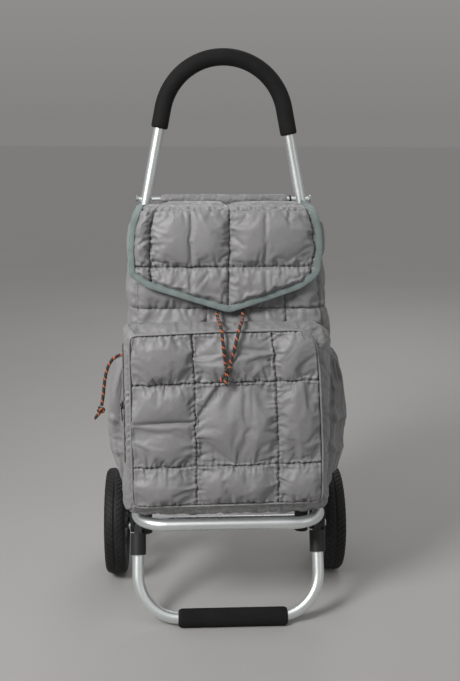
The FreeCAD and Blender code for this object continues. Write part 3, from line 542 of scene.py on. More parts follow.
def closed_foam(name):
    made = Finish(name, Specular_IOR_Level=0.3)
    at = made.place()
    pores = made.node("ShaderNodeTexVoronoi", {}, {"Vector": at, "Scale": 900.0}, "Distance")
    big_pores = made.node("ShaderNodeTexVoronoi", {}, {"Vector": at, "Scale": 330.0}, "Distance")
    rubbed = made.noise(at, 26, 4, 0.6)
    base = made.blend(rubbed.ramp(0.35, 0.7), grey(0.005), grey(0.011))
    base = made.blend(big_pores.ramp(0.0, 0.16, 0.6, 0.0), base, grey(0.003))
    rough = 0.72 + rubbed * 0.2
    relief = made.bump(pores.ramp(0.0, 0.5), 0.0002, 0.5)
    relief = made.bump(big_pores.ramp(0.0, 0.2), 0.0003, 0.5, relief)
    return made.feed(Base_Color=base, Roughness=rough, Normal=relief)


def tyre_rubber(name):
    made = Finish(name, Specular_IOR_Level=0.4)
    at = made.place()
    dust, speck = made.noise(at, 22, 5, 0.65), made.noise(at, 700, 3)
    base = made.blend(dust.ramp(0.45, 0.8) * 0.6, grey(0.007), grey(0.024, 0.03))
    rough = 0.55 + dust * 0.25
    return made.feed(Base_Color=base, Roughness=rough, Normal=made.bump(speck, 0.00012, 0.5))


black_plastic = moulded("black_plastic")
rim_plastic = moulded("rim_plastic", 0.02)
foam = closed_foam("foam")
rubber = tyre_rubber("rubber")


def pressed_board(name):
    made = Finish(name)
    at = made.place()
    fibre, cloud = made.noise(made.place((40, 900, 900)), 1, 4), made.noise(at, 18, 3)
    base = made.blend(fibre * 0.6 + cloud * 0.4, grey(0.05, 0.03), grey(0.1, 0.03))
    return made.feed(Base_Color=base, Roughness=0.6 + cloud * 0.2, Normal=made.bump(fibre, 0.0002, 0.5))


board = pressed_board("board")

# %% [markdown]
# The cord's sheath is braided from black strands with one orange tracer that winds round it. The tube's U
# goes round the cord and its V is a length, so U plus a multiple of V is constant along a helix.

# %% Braided cord
def braided(name, pitch=0.0125, strands=8):
    made = Finish(name, Sheen_Weight=0.2)
    flat = made.node("ShaderNodeUVMap", {"uv_map": "along"}, {})
    round_it = made.node("ShaderNodeSeparateXYZ", {}, {0: flat}, 0)
    length = Socket(made, round_it.output.node.outputs[1])
    helix = (round_it + length * (1 / pitch)).math("FRACT")
    tracer = (helix - 0.5).math("ABSOLUTE").ramp(0.1, 0.13, 1.0, 0.0)
    left = ((round_it * strands + length * (strands / 0.02)) * (2 * math.pi)).math("SINE")
    right = ((round_it * strands - length * (strands / 0.02)) * (2 * math.pi)).math("SINE")
    weave = left * right * 0.5 + 0.5
    crossing = (left * 0.5 + 0.5).ramp(0.15, 0.5)
    fuzz = made.noise(made.place(), 1500, 2)
    black = made.blend(weave * 0.7 + fuzz * 0.3, grey(0.006), grey(0.03))
    orange = made.blend(fuzz, (0.56, 0.09, 0.012, 1), (0.86, 0.2, 0.03, 1))
    base = made.blend(tracer * (0.35 + crossing * 0.65), black, orange)
    relief = made.bump(weave + fuzz * 0.3, 0.0004, 0.7)
    return made.feed(Base_Color=base, Roughness=0.55 + fuzz * 0.3, Normal=relief)


cord_braid = braided("cord_braid")

# %% [markdown]
# The CAD parts that keep their shape take these finishes as they are.

# %% Finishes for the CAD parts
def paint(finish, *names):
    for name in names:
        for slot in nodes[name].material_slots:
            slot.material = finish


paint(upright_tube, "handle_frame")
paint(platform_tube, "platform_frame")
paint(foot_tube, "foot_loop")
paint(cross_tube, "crossbar")
paint(board, "base_board")
paint(dark_metal, "elastic_hook")
paint(zinc, "axle", *(f"{part}_{side}" for part in ("bracket_bolts", "axle_clip", "platform_pin", "foot_pin",
                                                    "crossbar_cap")
                      for side in ("left", "right")))
paint(black_plastic, "platform_plugs", *(
    f"{part}_{side}" for part in ("rear_bracket", "axle_spacer", "wheel_bush", "hub_cap",
                                  "foot_saddle", "foot_socket") for side in ("left", "right")))
paint(rim_plastic, "wheel_rim_left", "wheel_rim_right")

# %% [markdown]
# ## Cords, knots and tails
# Two drawcords come out from under the flap and share one knot over the pocket. A third cord hangs at the
# left side. The knots are small tight overhand knots: a tube that follows a trefoil line, drawn together
# until its loops touch.

# %% Cords
def knot_points(centre, size, way, steps=72):
    """A drawn-tight trefoil, standing along a given direction."""
    stand = Vector((0, 0, 1)).rotation_difference(way.normalized()).to_matrix()
    found = []
    for k in range(steps):
        t = 2 * math.pi * k / steps
        shape = Vector((math.sin(t) + 2 * math.sin(2 * t), math.cos(t) - 2 * math.cos(2 * t),
                        -1.35 * math.sin(3 * t)))
        found.append(centre + stand @ shape * size)
    return found


def frayed(distance, total):
    """The melted tip of a tail narrows a little and then closes."""
    left = total - distance
    return 1.0 if left > 0.004 else 0.72 + 0.28 * left / 0.004


def join_as(name, things):
    select_only(things[0])
    for thing in things[1:]:
        thing.select_set(True)
    bpy.ops.object.join()
    joined = bpy.context.view_layer.objects.active
    joined.name = name
    joined.data.name = name
    return joined


def cord_line(route):
    return evenly(spline_points([mm(*p) for p in route]), PATH_STEP)


def cord_piece(piece, replaced):
    return finish_piece(piece, "root", cord_braid, [replaced])


def make_knot(name, place, way):
    line = knot_points(mm(*place), KNOT_SIZE, Vector(way))
    return cord_piece(tube(f"{name}_braid", line, KNOT_RADIUS, closed=True, braid=BRAID_RELIEF), name)


def make_tail(name, route):
    return tube(name, cord_line(route), TAIL_RADIUS, ends=frayed, braid=BRAID_RELIEF)


cord_paths, cord_pieces = {}, {}
for name, route in ROUTES.items():
    cord_paths[name] = cord_line(route)
    piece = tube(f"{name}_braid", cord_paths[name], CORD_RADIUS, sides=24, braid=BRAID_RELIEF)
    cord_pieces[name] = cord_piece(piece, name)

FRONT_KNOT, SIDE_KNOT = (-6, -184, 464), (-211.5, -127, 383)
drawcord_knot = make_knot("drawcord_knot", FRONT_KNOT, (0.25, 0.2, -1))
side_knot = make_knot("side_cord_knot", SIDE_KNOT, (-0.3, 0.1, -1))
tails = [make_tail(f"tail_{number}", [FRONT_KNOT, *bend]) for number, bend in enumerate([
    [(-9, -184.2, 456), (-15, -184, 450), (-20, -184, 442)],
    [(-6.5, -184.6, 455), (-8.4, -185, 447), (-9, -185, 439)]])]
drawcord_tails = cord_piece(join_as("drawcord_tails_braid", tails), "drawcord_tails")
side_tail = cord_piece(make_tail("side_cord_tail_braid", [
    SIDE_KNOT, (-214, -127.5, 376), (-219, -127, 372), (-222, -127, 367)]), "side_cord_tails")

# %% [markdown]
# ## Foam grip and foot pad
# The grip is a thick foam sleeve over the arch. A circle is set at its left end, drawn up the leg, spun
# over the arch and drawn down the other leg, all in the plane of the frame; then the whole is leaned back.
# Its ends are rounded with a bevel. The foot pad is the same foam on the foot's bar, worn flat where it
# stands.

# %% Foam grip
TUBE_SPLAY = math.radians(11.14)
ARCH_RADIUS, ARCH_CENTRE_UP = 110.4 * MM, (857 - 110.4) * MM
GRIP_RADIUS = 15 * MM
TAIL_LEFT, TAIL_RIGHT = 35.5 * MM, 46.5 * MM


def in_frame_plane():
    """From the upright plane of the frame, with the axle at its origin, to where it leans."""
    return Matrix.Translation(axle) @ Matrix.Rotation(-LEAN, 4, "X")


def round_ends(thing, width, segments=6):
    """Close the open ends of a sleeve and round the edge of each."""
    edit_all(thing)
    bpy.ops.mesh.fill_holes(sides=0)
    bpy.ops.mesh.select_all(action="DESELECT")
    bpy.ops.mesh.select_mode(type="FACE")
    bpy.ops.object.mode_set(mode="OBJECT")
    for face in thing.data.polygons:
        face.select = len(face.vertices) > 8
    bpy.ops.object.mode_set(mode="EDIT")
    bpy.ops.mesh.bevel(offset=width, segments=segments, affect="EDGES")
    bpy.ops.mesh.select_all(action="SELECT")
    bpy.ops.mesh.normals_make_consistent(inside=False)
    bpy.ops.object.mode_set(mode="OBJECT")


select_only(None)
touch = Vector((-ARCH_RADIUS * math.cos(TUBE_SPLAY), 0, ARCH_CENTRE_UP + ARCH_RADIUS * math.sin(TUBE_SPLAY)))
leg_way = Vector((math.sin(TUBE_SPLAY), 0, math.cos(TUBE_SPLAY)))
start = touch - leg_way * TAIL_LEFT
bpy.ops.mesh.primitive_circle_add(vertices=40, radius=GRIP_RADIUS, fill_type="NOTHING",
                                  location=start, rotation=(0, TUBE_SPLAY, 0))
grip = named_primitive("foam_grip")
bpy.ops.object.mode_set(mode="EDIT")
for part in range(3):
    bpy.ops.mesh.extrude_region_move(TRANSFORM_OT_translate={"value": leg_way * TAIL_LEFT / 3})
bpy.ops.mesh.spin(steps=48, angle=math.pi - 2 * TUBE_SPLAY, center=(0, 0, ARCH_CENTRE_UP), axis=(0, -1, 0))
away = Vector((math.sin(TUBE_SPLAY), 0, -math.cos(TUBE_SPLAY)))
for part in range(4):
    bpy.ops.mesh.extrude_region_move(TRANSFORM_OT_translate={"value": away * TAIL_RIGHT / 4})
bpy.ops.object.mode_set(mode="OBJECT")
round_ends(grip, 4 * MM)
grip.data.transform(in_frame_plane())
smooth_faces(grip, 60)
finish_piece(grip, "root", foam, ["handle_grip"])
print("grip top", round(max(v.co.z for v in grip.data.vertices), 4))

# %% Foot pad
pad_low, pad_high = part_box("foot_pad")
select_only(None)
bpy.ops.mesh.primitive_cylinder_add(vertices=48, radius=15 * MM, depth=pad_high.x - pad_low.x,
                                    location=((pad_low.x + pad_high.x) / 2, (pad_low.y + pad_high.y) / 2,
                                              14.6 * MM), rotation=(0, math.pi / 2, 0))
foot_pad = named_primitive("foot_pad_foam")
for face in foot_pad.data.polygons:
    face.select = len(face.vertices) > 8
bpy.ops.object.mode_set(mode="EDIT")
bpy.ops.mesh.bevel(offset=7 * MM, segments=8, profile=0.62, affect="EDGES")
bpy.ops.mesh.select_all(action="SELECT")
bpy.ops.mesh.bisect(plane_co=(0, 0, 0.4 * MM), plane_no=(0, 0, -1), clear_outer=True, use_fill=True)
bpy.ops.mesh.select_all(action="SELECT")
bpy.ops.mesh.normals_make_consistent(inside=False)
bpy.ops.object.mode_set(mode="OBJECT")
foot_pad.data.transform(Matrix.Translation((0, 0, -0.4 * MM)))
smooth_faces(foot_pad, 35)
finish_piece(foot_pad, "foot", foam, ["foot_pad"])

# %% [markdown]
# ## Tyres
# A tyre is a body of revolution, so the points of its section are spun about the axle. The tread is a row
# of slanted lugs on each side of a middle groove. One lug is cut from a cube, laid on the tyre's crown and
# bevelled; the rest are copies, turned about the axle.

# %% Tyres
TYRE_SIDE = [(1.6, 96.9), (2.6, 98.3), (6.0, 98.2), (11.5, 97.7), (16.0, 96.2), (18.6, 93.4),
             (19.4, 89.5), (18.9, 85.2), (16.8, 82.6), (14.3, 82.0)]
TYRE_SECTION = [(-x, r) for x, r in reversed(TYRE_SIDE)] + TYRE_SIDE
CROWN = [(0, 98.3), (6, 98.2), (11.5, 97.7), (16, 96.2), (18.6, 93.4), (19.3, 90.5)]
LUGS = 60


def make_lug(side):
    """One slanted block of tread on the crown, at the top of a wheel centred on the origin."""
    select_only(None)
    bpy.ops.mesh.primitive_cube_add(size=1)
    lug = bpy.context.object
    edit_all(lug)
    bpy.ops.mesh.subdivide(number_cuts=3)
    bpy.ops.object.mode_set(mode="OBJECT")
    for corner in lug.data.vertices:
        share, round_it, height = corner.co.x + 0.5, corner.co.y, corner.co.z + 0.5
        across = mix(2.9, 18.9, share)
        width = mix(8.4, 7.0, share)
        angle = (round_it * width + mix(-7, 7, share)) / 100
        radius = along(across, CROWN) + mix(-2.0, 1.1, height)
        corner.co = mm(side * across, math.sin(angle) * radius, math.cos(angle) * radius)
    face_outwards(lug)
    bevel = lug.modifiers.new("edge", "BEVEL")
    bevel.width, bevel.segments = 0.5 * MM, 1
    bevel.limit_method, bevel.angle_limit = "ANGLE", math.radians(50)
    apply_modifiers(lug)
    return lug


def make_tyre(side):
    low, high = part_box(f"tyre_{side}")
    centre = (low + high) / 2
    section = [mm(x, 0, r) for x, r in TYRE_SECTION]
    carcass = new_mesh(f"tyre_rubber_{side}", section, [])
    carcass.data.edges.add(len(section))
    for k, edge in enumerate(carcass.data.edges):
        edge.vertices = (k, (k + 1) % len(section))
    edit_all(carcass)
    bpy.ops.mesh.spin(steps=96, angle=2 * math.pi, center=(0, 0, 0), axis=(1, 0, 0))
    bpy.ops.mesh.select_all(action="SELECT")
    bpy.ops.mesh.remove_doubles(threshold=0.01 * MM)
    bpy.ops.mesh.normals_make_consistent(inside=False)
    bpy.ops.object.mode_set(mode="OBJECT")
    round_off(carcass)
    lugs = []
    for hand in (-1, 1):
        first = make_lug(hand)
        for k in range(LUGS):
            turn = 2 * math.pi * (k + (hand > 0) * 0.5) / LUGS
            lugs.append(placed_copy(first, Matrix.Rotation(turn, 4, "X")))
        bpy.data.objects.remove(first)
    tyre = join_as(f"tyre_rubber_{side}", [carcass] + lugs)
    tyre.data.transform(Matrix.Translation(centre))
    smooth_faces(tyre, 32)
    finish_piece(tyre, f"wheel_{side}", rubber, [f"tyre_{side}"])
    print(tyre.name, len(tyre.data.polygons), "faces")


make_tyre("left")
make_tyre("right")

# %% [markdown]
# ## Quilted cloth
# A puffer panel is two layers of nylon with wadding between them, sewn together along straight lines. Each
# seam is a valley, and between the seams the cloth stands up in a pillow. The cloth is cut larger than the
# frame of thread that holds it, so it crumples into short folds that run away from every seam. Each panel
# is laid out as a grid that already has its pillows and valleys, with rows of vertices on the seams.
# Blender's Cloth then holds the seam vertices, grows the cloth a few percent and blows it out a little:
# that makes the folds. A wall thickness and one subdivision finish the piece.

# %% Laying out quilted cloth
CELL = 3.2
GROWTH = 0.075
PRESSURE = 4.0
FRAMES = 22


def stops(marks, cell=CELL):
    """Positions from the first mark to the last, about a cell apart, with every mark among them."""
    found = [marks[0]]
    for low, high in zip(marks, marks[1:]):
        parts = max(1, round(abs(high - low) / cell))
        found += [low + (high - low) * k / parts for k in range(1, parts + 1)]
    return found


def pillow(x, seams):
    """(how far the pillow stands at x, from 0 to 1, and the distance to the nearest seam)."""
    for low, high in zip(seams, seams[1:]):
        if low - 1e-6 <= x <= high + 1e-6:
            share = (x - low) / (high - low)
            return max(0.0, 1 - abs(2 * share - 1) ** 2.4) ** 0.45, min(x - low, high - x)
    return 0.0, 0.0


def wander(x, z, seed, size=1.3):
    """Small side steps that make a straight seam run a little unevenly."""
    return (size * noise.noise(Vector((z / 13, x / 80, seed))),
            size * noise.noise(Vector((x / 13, z / 80, seed + 9))))


class Quilt:
    """A quilted piece while it is laid out. Sizes are in millimetres until it is made."""

    def __init__(self, name, seed, cap):
        self.name, self.chance, self.cap = name, random.Random(seed), cap
        self.points, self.faces, self.flat, self.hold, self.seam = [], [], [], [], []
        self.rows, self.folds = [], []

    def add(self, point, flat, hold, seam):
        self.points.append(point)
        self.flat.append(flat)
        self.hold.append(hold)
        self.seam.append(seam)
        return len(self.points) - 1

    def strip(self, lower, upper, closed=False):
        """Faces between two rows of vertices."""
        pairs = list(zip(zip(lower, lower[1:]), zip(upper, upper[1:])))
        if closed:
            pairs.append(((lower[-1], lower[0]), (upper[-1], upper[0])))
        for (a, b), (d, c) in pairs:
            self.faces.append((a, b, c, d))

    def lay(self, row, closed=False):
        """Keep a row of vertices and join it to the row before."""
        if self.rows:
            self.strip(self.rows[-1], row, closed)
        self.rows.append(row)

    def pucker(self, start, end, spacing=7.0, deep=1.25, sides=(-1, 1)):
        """Folds that run away from a seam between two places on the flat cloth, on one or both sides."""
        start, end = Vector(start), Vector(end)
        way = (end - start).normalized()
        across = Vector((-way.y, way.x))
        for side in sides:
            at = self.chance.uniform(0.3, 1.0) * spacing
            while at < (end - start).length:
                slant = self.chance.gauss(0, 0.38)
                run = (across * side + way * slant).normalized()
                long = self.chance.choice([7, 9, 12, 15, 22, 34]) * self.chance.uniform(0.8, 1.25)
                depth = deep * self.chance.uniform(0.8, 1.9) * (1.3 if long > 18 else 1.0)
                width = self.chance.uniform(1.0, 1.7) * (1 + long / 50)
                self.folds.append((*(start + way * at), *run, long, depth, width))
                at += spacing * self.chance.uniform(0.45, 1.6)

    def sag(self, start, end, depth, width):
        """One long soft fold."""
        start, end = Vector(start), Vector(end)
        self.folds.append((*start, *(end - start).normalized(), (end - start).length, depth, width))

    def make(self):
        thing = new_mesh(self.name, [mm(*p) for p in self.points], self.faces)
        layer = thing.data.uv_layers.new(name="cloth")
        for face in thing.data.polygons:
            for loop in face.loop_indices:
                layer.data[loop].uv = [x * MM for x in self.flat[thing.data.loops[loop].vertex_index]]
        seam = thing.data.attributes.new("seam", "FLOAT", "POINT")
        seam.data.foreach_set("value", self.seam)
        flat = thing.data.attributes.new("flat", "FLOAT_VECTOR", "POINT")
        flat.data.foreach_set("vector", [x for u, v in self.flat for x in (u, v, 0)])
        group = thing.vertex_groups.new(name="held")
        for k, hold in enumerate(self.hold):
            if hold > 0:
                group.add([k], hold, "REPLACE")
        self.thing = thing
        self.start = [v.co.copy() for v in thing.data.vertices]
        return thing


def near_seam(distance):
    return math.exp(-distance / 4.5)


def crumple(quilts, growth=GROWTH, pressure=PRESSURE, frames=FRAMES):
    """Run the cloth of all panels together, then make it their mesh."""
    for quilt in quilts:
        cloth = quilt.thing.modifiers.new("cloth", "CLOTH")
        rules = cloth.settings
        rules.quality = 5
        rules.mass = 0.12
        rules.tension_stiffness = rules.compression_stiffness = 18
        rules.shear_stiffness = 6
        rules.bending_stiffness = 0.12
        rules.tension_damping = rules.compression_damping = 4
        rules.air_damping = 2
        rules.use_pressure = True
        rules.uniform_pressure_force = pressure
        rules.shrink_min = -growth
        rules.vertex_group_mass = "held"
        rules.effector_weights.gravity = 0
        cloth.collision_settings.use_collision = False
        cloth.point_cache.frame_end = frames + 1
    for number in range(1, frames + 1):
        bpy.context.scene.frame_set(number)
    for quilt in quilts:
        apply_modifiers(quilt.thing)
        furthest = 0.0
        for corner, start in zip(quilt.thing.data.vertices, quilt.start):
            move = corner.co - start
            furthest = max(furthest, move.length)
            if move.length > quilt.cap * MM:
                corner.co = start + move * (quilt.cap * MM / move.length)
        print(quilt.name, len(quilt.start), "vertices, moved up to", round(furthest * 1000, 1), "mm")
    bpy.context.scene.frame_set(1)


def press_folds(quilt):
    """Move the vertices in along every fold, and out a little beside it."""
    mesh = quilt.thing.data
    count = len(mesh.vertices)
    co, normal, flat = (np.empty(count * 3) for _ in range(3))
    mesh.vertices.foreach_get("co", co)
    mesh.vertex_normals.foreach_get("vector", normal)
    mesh.attributes["flat"].data.foreach_get("vector", flat)
    flat = flat.reshape(-1, 3)
    lift = np.zeros(count)
    for x, y, way_x, way_y, long, depth, width in quilt.folds:
        t = (flat[:, 0] - x) * way_x + (flat[:, 1] - y) * way_y
        close = np.nonzero((t > -1.5) & (t < long))[0]
        t = t[close]
        s = (flat[close, 1] - y) * way_x - (flat[close, 0] - x) * way_y
        wide = width * (1 + 0.5 * t / long)
        fade = np.clip((t + 1.5) / 3, 0, 1) * (1 - np.clip(t / long, 0, 1)) ** 1.1
        lift[close] += depth * fade * (0.55 * np.exp(-((s - 2 * wide) / (1.3 * wide)) ** 2)
                                       - np.exp(-(s / wide) ** 2))
    seam = np.empty(count)
    mesh.attributes["seam"].data.foreach_get("value", seam)
    lift -= 2.4 * np.clip((seam - 0.5) / 0.5, 0, 1) ** 2
    moved = co.reshape(-1, 3) + normal.reshape(-1, 3) * (np.clip(lift, -5.5, 2.2) * MM)[:, None]
    mesh.vertices.foreach_set("co", moved.ravel())
    mesh.update()


def finish_quilt(quilt, wall, body, replaced):
    """Round the cloth off, press its folds in and give it its wall, inwards."""
    thing = quilt.thing
    round_off(thing)
    press_folds(quilt)
    solid = thing.modifiers.new("wall", "SOLIDIFY")
    solid.thickness, solid.offset = wall * MM, -1
    apply_modifiers(thing)
    thing.vertex_groups.clear()
    smooth_faces(thing)
    finish_piece(thing, body, puffer, replaced)
    print(thing.name, len(thing.data.polygons), "faces,", len(quilt.folds), "folds")


# %% [markdown]
# ### Front pocket
# The pocket is a flat box: a quilted face of three columns and three rows, and a plain gusset round it that
# turns back to the bag. It leans a little: its right side rolls round further than its left. Its face is a
# grid; the gusset is grown from the grid's edge in rows.

# %% Front pocket
POCKET_SEAM_Y = -166.5
POCKET_BACK_Y = -122.4
FACE_LEFT = [(0, -159), (1, -160)]
FACE_RIGHT = [(0, 152), (0.3, 150), (0.75, 142), (1, 131)]
FACE_LOW = [(0, 228), (1, 233)]
FACE_HIGH = [(0, 515), (0.5, 521), (1, 523)]
POCKET_COLUMNS = [0, 0.336, 0.768, 1]
POCKET_ROWS = [0, 0.235, 0.717, 1]
FACE_WIDE, FACE_TALL = 300, 288  # across the face as it stands
FLAT_WIDE, FLAT_TALL = 320, 300  # and as it lies flat before it is sewn
GUSSET_ROWS = 13
ROUND = {(-1, -1): 12, (1, -1): 16, (-1, 1): 10, (1, 1): 30}


def rounded_corner(u, v, point, width, height):
    """Draw the corners of a rectangular grid in to an arc."""
    right, up = (1 if u > 0.5 else -1), (1 if v > 0.5 else -1)
    radius = ROUND[right, up]
    x = (u if right > 0 else 1 - u) * width - (width - radius)
    z = (v if up > 0 else 1 - v) * height - (height - radius)
    if x <= 0 or z <= 0:
        return point
    a, b = x / radius, z / radius
    shift_x = (a * math.sqrt(1 - b * b / 2) - a) * radius
    shift_z = (b * math.sqrt(1 - a * a / 2) - b) * radius
    return (point[0] + right * shift_x, point[1], point[2] + up * shift_z)


def face_point(u, v, lift):
    x = mix(along(v, FACE_LEFT), along(v, FACE_RIGHT), u)
    z = mix(along(u, FACE_LOW), along(u, FACE_HIGH), v)
    crown = 2.0 * (1 - (2 * u - 1) ** 2) * (1 - (2 * v - 1) ** 2)
    step_x, step_z = wander(x, z, 2.0)
    inside = min(1.0, 20 * min(u, 1 - u), 20 * min(v, 1 - v))
    x, z = x + step_x * inside, z + step_z * inside
    return rounded_corner(u, v, (x, POCKET_SEAM_Y - crown - lift, z), 300, 285)


def lay_pocket():
    quilt = Quilt("pocket_quilt", 11, 8)
    us, vs = stops(POCKET_COLUMNS, CELL / FACE_WIDE), stops(POCKET_ROWS, CELL / FACE_TALL)
    for v in vs:
        row = []
        for u in us:
            across, du = pillow(u, POCKET_COLUMNS)
            upward, dv = pillow(v, POCKET_ROWS)
            distance = min(du * FACE_WIDE, dv * FACE_TALL)
            held = distance < 0.5
            jitter = quilt.chance.uniform(-0.7, 0.7) if held else 0
            crease = 0.0
            if u < POCKET_COLUMNS[1]:
                crease = 0.3 * math.exp(-((v - 0.5) * FACE_TALL / 5) ** 2)
            lift = 10.5 * across * upward * (1 - crease) + jitter
            hold = 1.0 if held else 0.0
            flat = (u * FLAT_WIDE, v * FLAT_TALL)
            row.append(quilt.add(face_point(u, v, lift), flat, hold, near_seam(distance)))
        quilt.lay(row)
    columns, rows = len(us), len(vs)
    rim = ([(0, k) for k in range(columns)] + [(j, columns - 1) for j in range(1, rows)]
           + [(rows - 1, k) for k in range(columns - 2, -1, -1)] + [(j, 0) for j in range(rows - 2, 0, -1)])
    front = [quilt.rows[j][k] for j, k in rim]
    below = front
    for step in range(1, GUSSET_ROWS + 1):
        share = step / GUSSET_ROWS
        ring = []
        for j, k in rim:
            u, v = us[k], vs[j]
            base = face_point(u, v, 0)
            back = rounded_corner(u, v, (mix(-172.6, 163.0, u), 0, mix(202.5, 526.0, v)), 336, 323)
            left = max(0.0, 1 - 2 * u) * (1 - abs(2 * v - 1) ** 6)
            power = mix(0.72, 0.3, left)
            out = share ** power
            puff = mix(6.5, 4.2, smooth(3 * v)) * math.sin(math.pi * share) ** 0.8
            middle = Vector((0, 0, 372))
            away = Vector((base[0], 0, base[2])) - middle
            away = Vector((math.copysign(abs(away.x) ** 3, away.x) / 172 ** 3, 0,
                           math.copysign(abs(away.z) ** 3, away.z) / 155 ** 3)).normalized()
            point = Vector((mix(base[0], back[0], out), mix(base[1], POCKET_BACK_Y, share),
                            mix(base[2], back[2], out))) + away * puff
            y = point.y
            on_zip = left > 0.3 and -160 < y < -140 and 292 < point.z < 508
            last = step == GUSSET_ROWS
            hold = 1.0 if last or on_zip else 0.0
            if on_zip:
                point = Vector((min(-170.5, mix(-160, -171.5, min(1, out * 1.2))), y, point.z))
            seam = near_seam(0 if last else share * 46)
            flat = (u * FLAT_WIDE + (point.x - base[0]), v * FLAT_TALL + share * 50)
            ring.append(quilt.add(tuple(point), flat, hold, seam))
        quilt.strip(ring, below, closed=True)
        below = ring
    inward = {0: (1,), 1: (-1,)}
    for u in POCKET_COLUMNS:
        quilt.pucker((u * FLAT_WIDE, 0), (u * FLAT_WIDE, FLAT_TALL), sides=inward.get(u, (-1, 1)))
    for v in POCKET_ROWS:
        quilt.pucker((0, v * FLAT_TALL), (FLAT_WIDE, v * FLAT_TALL), sides=inward.get(v, (-1, 1)))
    quilt.make()
    quilt.rim_line = [quilt.start[k].copy() for k in front]
    return quilt


pocket_quilt = lay_pocket()

# %% [markdown]
# ### Body of the bag
# The body is one closed band of quilted cloth with rounded corners, from the stiff bottom to the gathered
# mouth. It is laid out as rings. The lowest rings turn in under the bag and close it, and the highest turn
# in over the mouth, where the drawstring gathers them.

# %% Body of the bag
BODY_HALF = 157.0
BODY_LEFT = [(200, 158), (500, 160.5), (640, 159), (680, 156), (700, 152)]
BODY_RIGHT = [(200, 161), (500, 162), (545, 158), (590, 151), (660, 149), (700, 145)]
BODY_FRONT = -114.5
BODY_CORNER = 26.0
BACK_RECESS = 5.5
FRONT_SEAMS = [-150, -37, 91, 155]
SIDE_SEAM_Y = -20.0
BACK_SEAMS = [134, 46, -46, -134]
BODY_ROWS = [202, 318, 436, 549, 628, 690]
BODY_CELL = 5.0


def body_back(z):
    """Seam level of the back panel, which leans in front of the legs."""
    return 75 + (z - 100) * math.tan(LEAN) - 13.4 - BACK_RECESS


def body_marks(z):
    """(length round the ring, seam places) at a height, from the front left corner, by the right side."""
    depth = body_back(z) - BODY_FRONT
    wide = 2 * BODY_HALF
    seams = [x + BODY_HALF for x in FRONT_SEAMS]
    seams += [wide + (SIDE_SEAM_Y - BODY_FRONT)]
    seams += [wide + depth + BODY_HALF - x for x in BACK_SEAMS]
    seams += [2 * wide + depth + (depth - (SIDE_SEAM_Y - BODY_FRONT))]
    return 2 * (wide + depth), seams, depth


def body_point(p, z, lift, inset=0.0):
    """Place on the ring at p along it; the corners are arcs. Lift is outwards."""
    total, _, depth = body_marks(z)
    wide = 2 * BODY_HALF
    p %= total
    if p < wide:
        x, y = p - BODY_HALF, -depth / 2
    elif p < wide + depth:
        x, y = BODY_HALF, p - wide - depth / 2
    elif p < 2 * wide + depth:
        x, y = BODY_HALF - (p - wide - depth), depth / 2
    else:
        x, y = -BODY_HALF, depth / 2 - (p - 2 * wide - depth)
    flat_x = max(-BODY_HALF + BODY_CORNER, min(BODY_HALF - BODY_CORNER, x))
    flat_y = max(-depth / 2 + BODY_CORNER, min(depth / 2 - BODY_CORNER, y))
    way = Vector((x - flat_x, y - flat_y))
    way.normalize()
    radius = BODY_CORNER + lift - inset
    middle = BODY_FRONT + depth / 2
    step_x, step_z = wander(x + y, z, 5.0, 1.1)
    out_x = flat_x + way.x * radius
    out_x *= along(z, BODY_LEFT if out_x < 0 else BODY_RIGHT) / BODY_HALF
    level = 1.0 if 210 < z < 685 else 0.0
    out_y = middle + flat_y + way.y * radius
    return (out_x + abs(way.y) * step_x, out_y + abs(way.x) * step_x, z + step_z * level), way


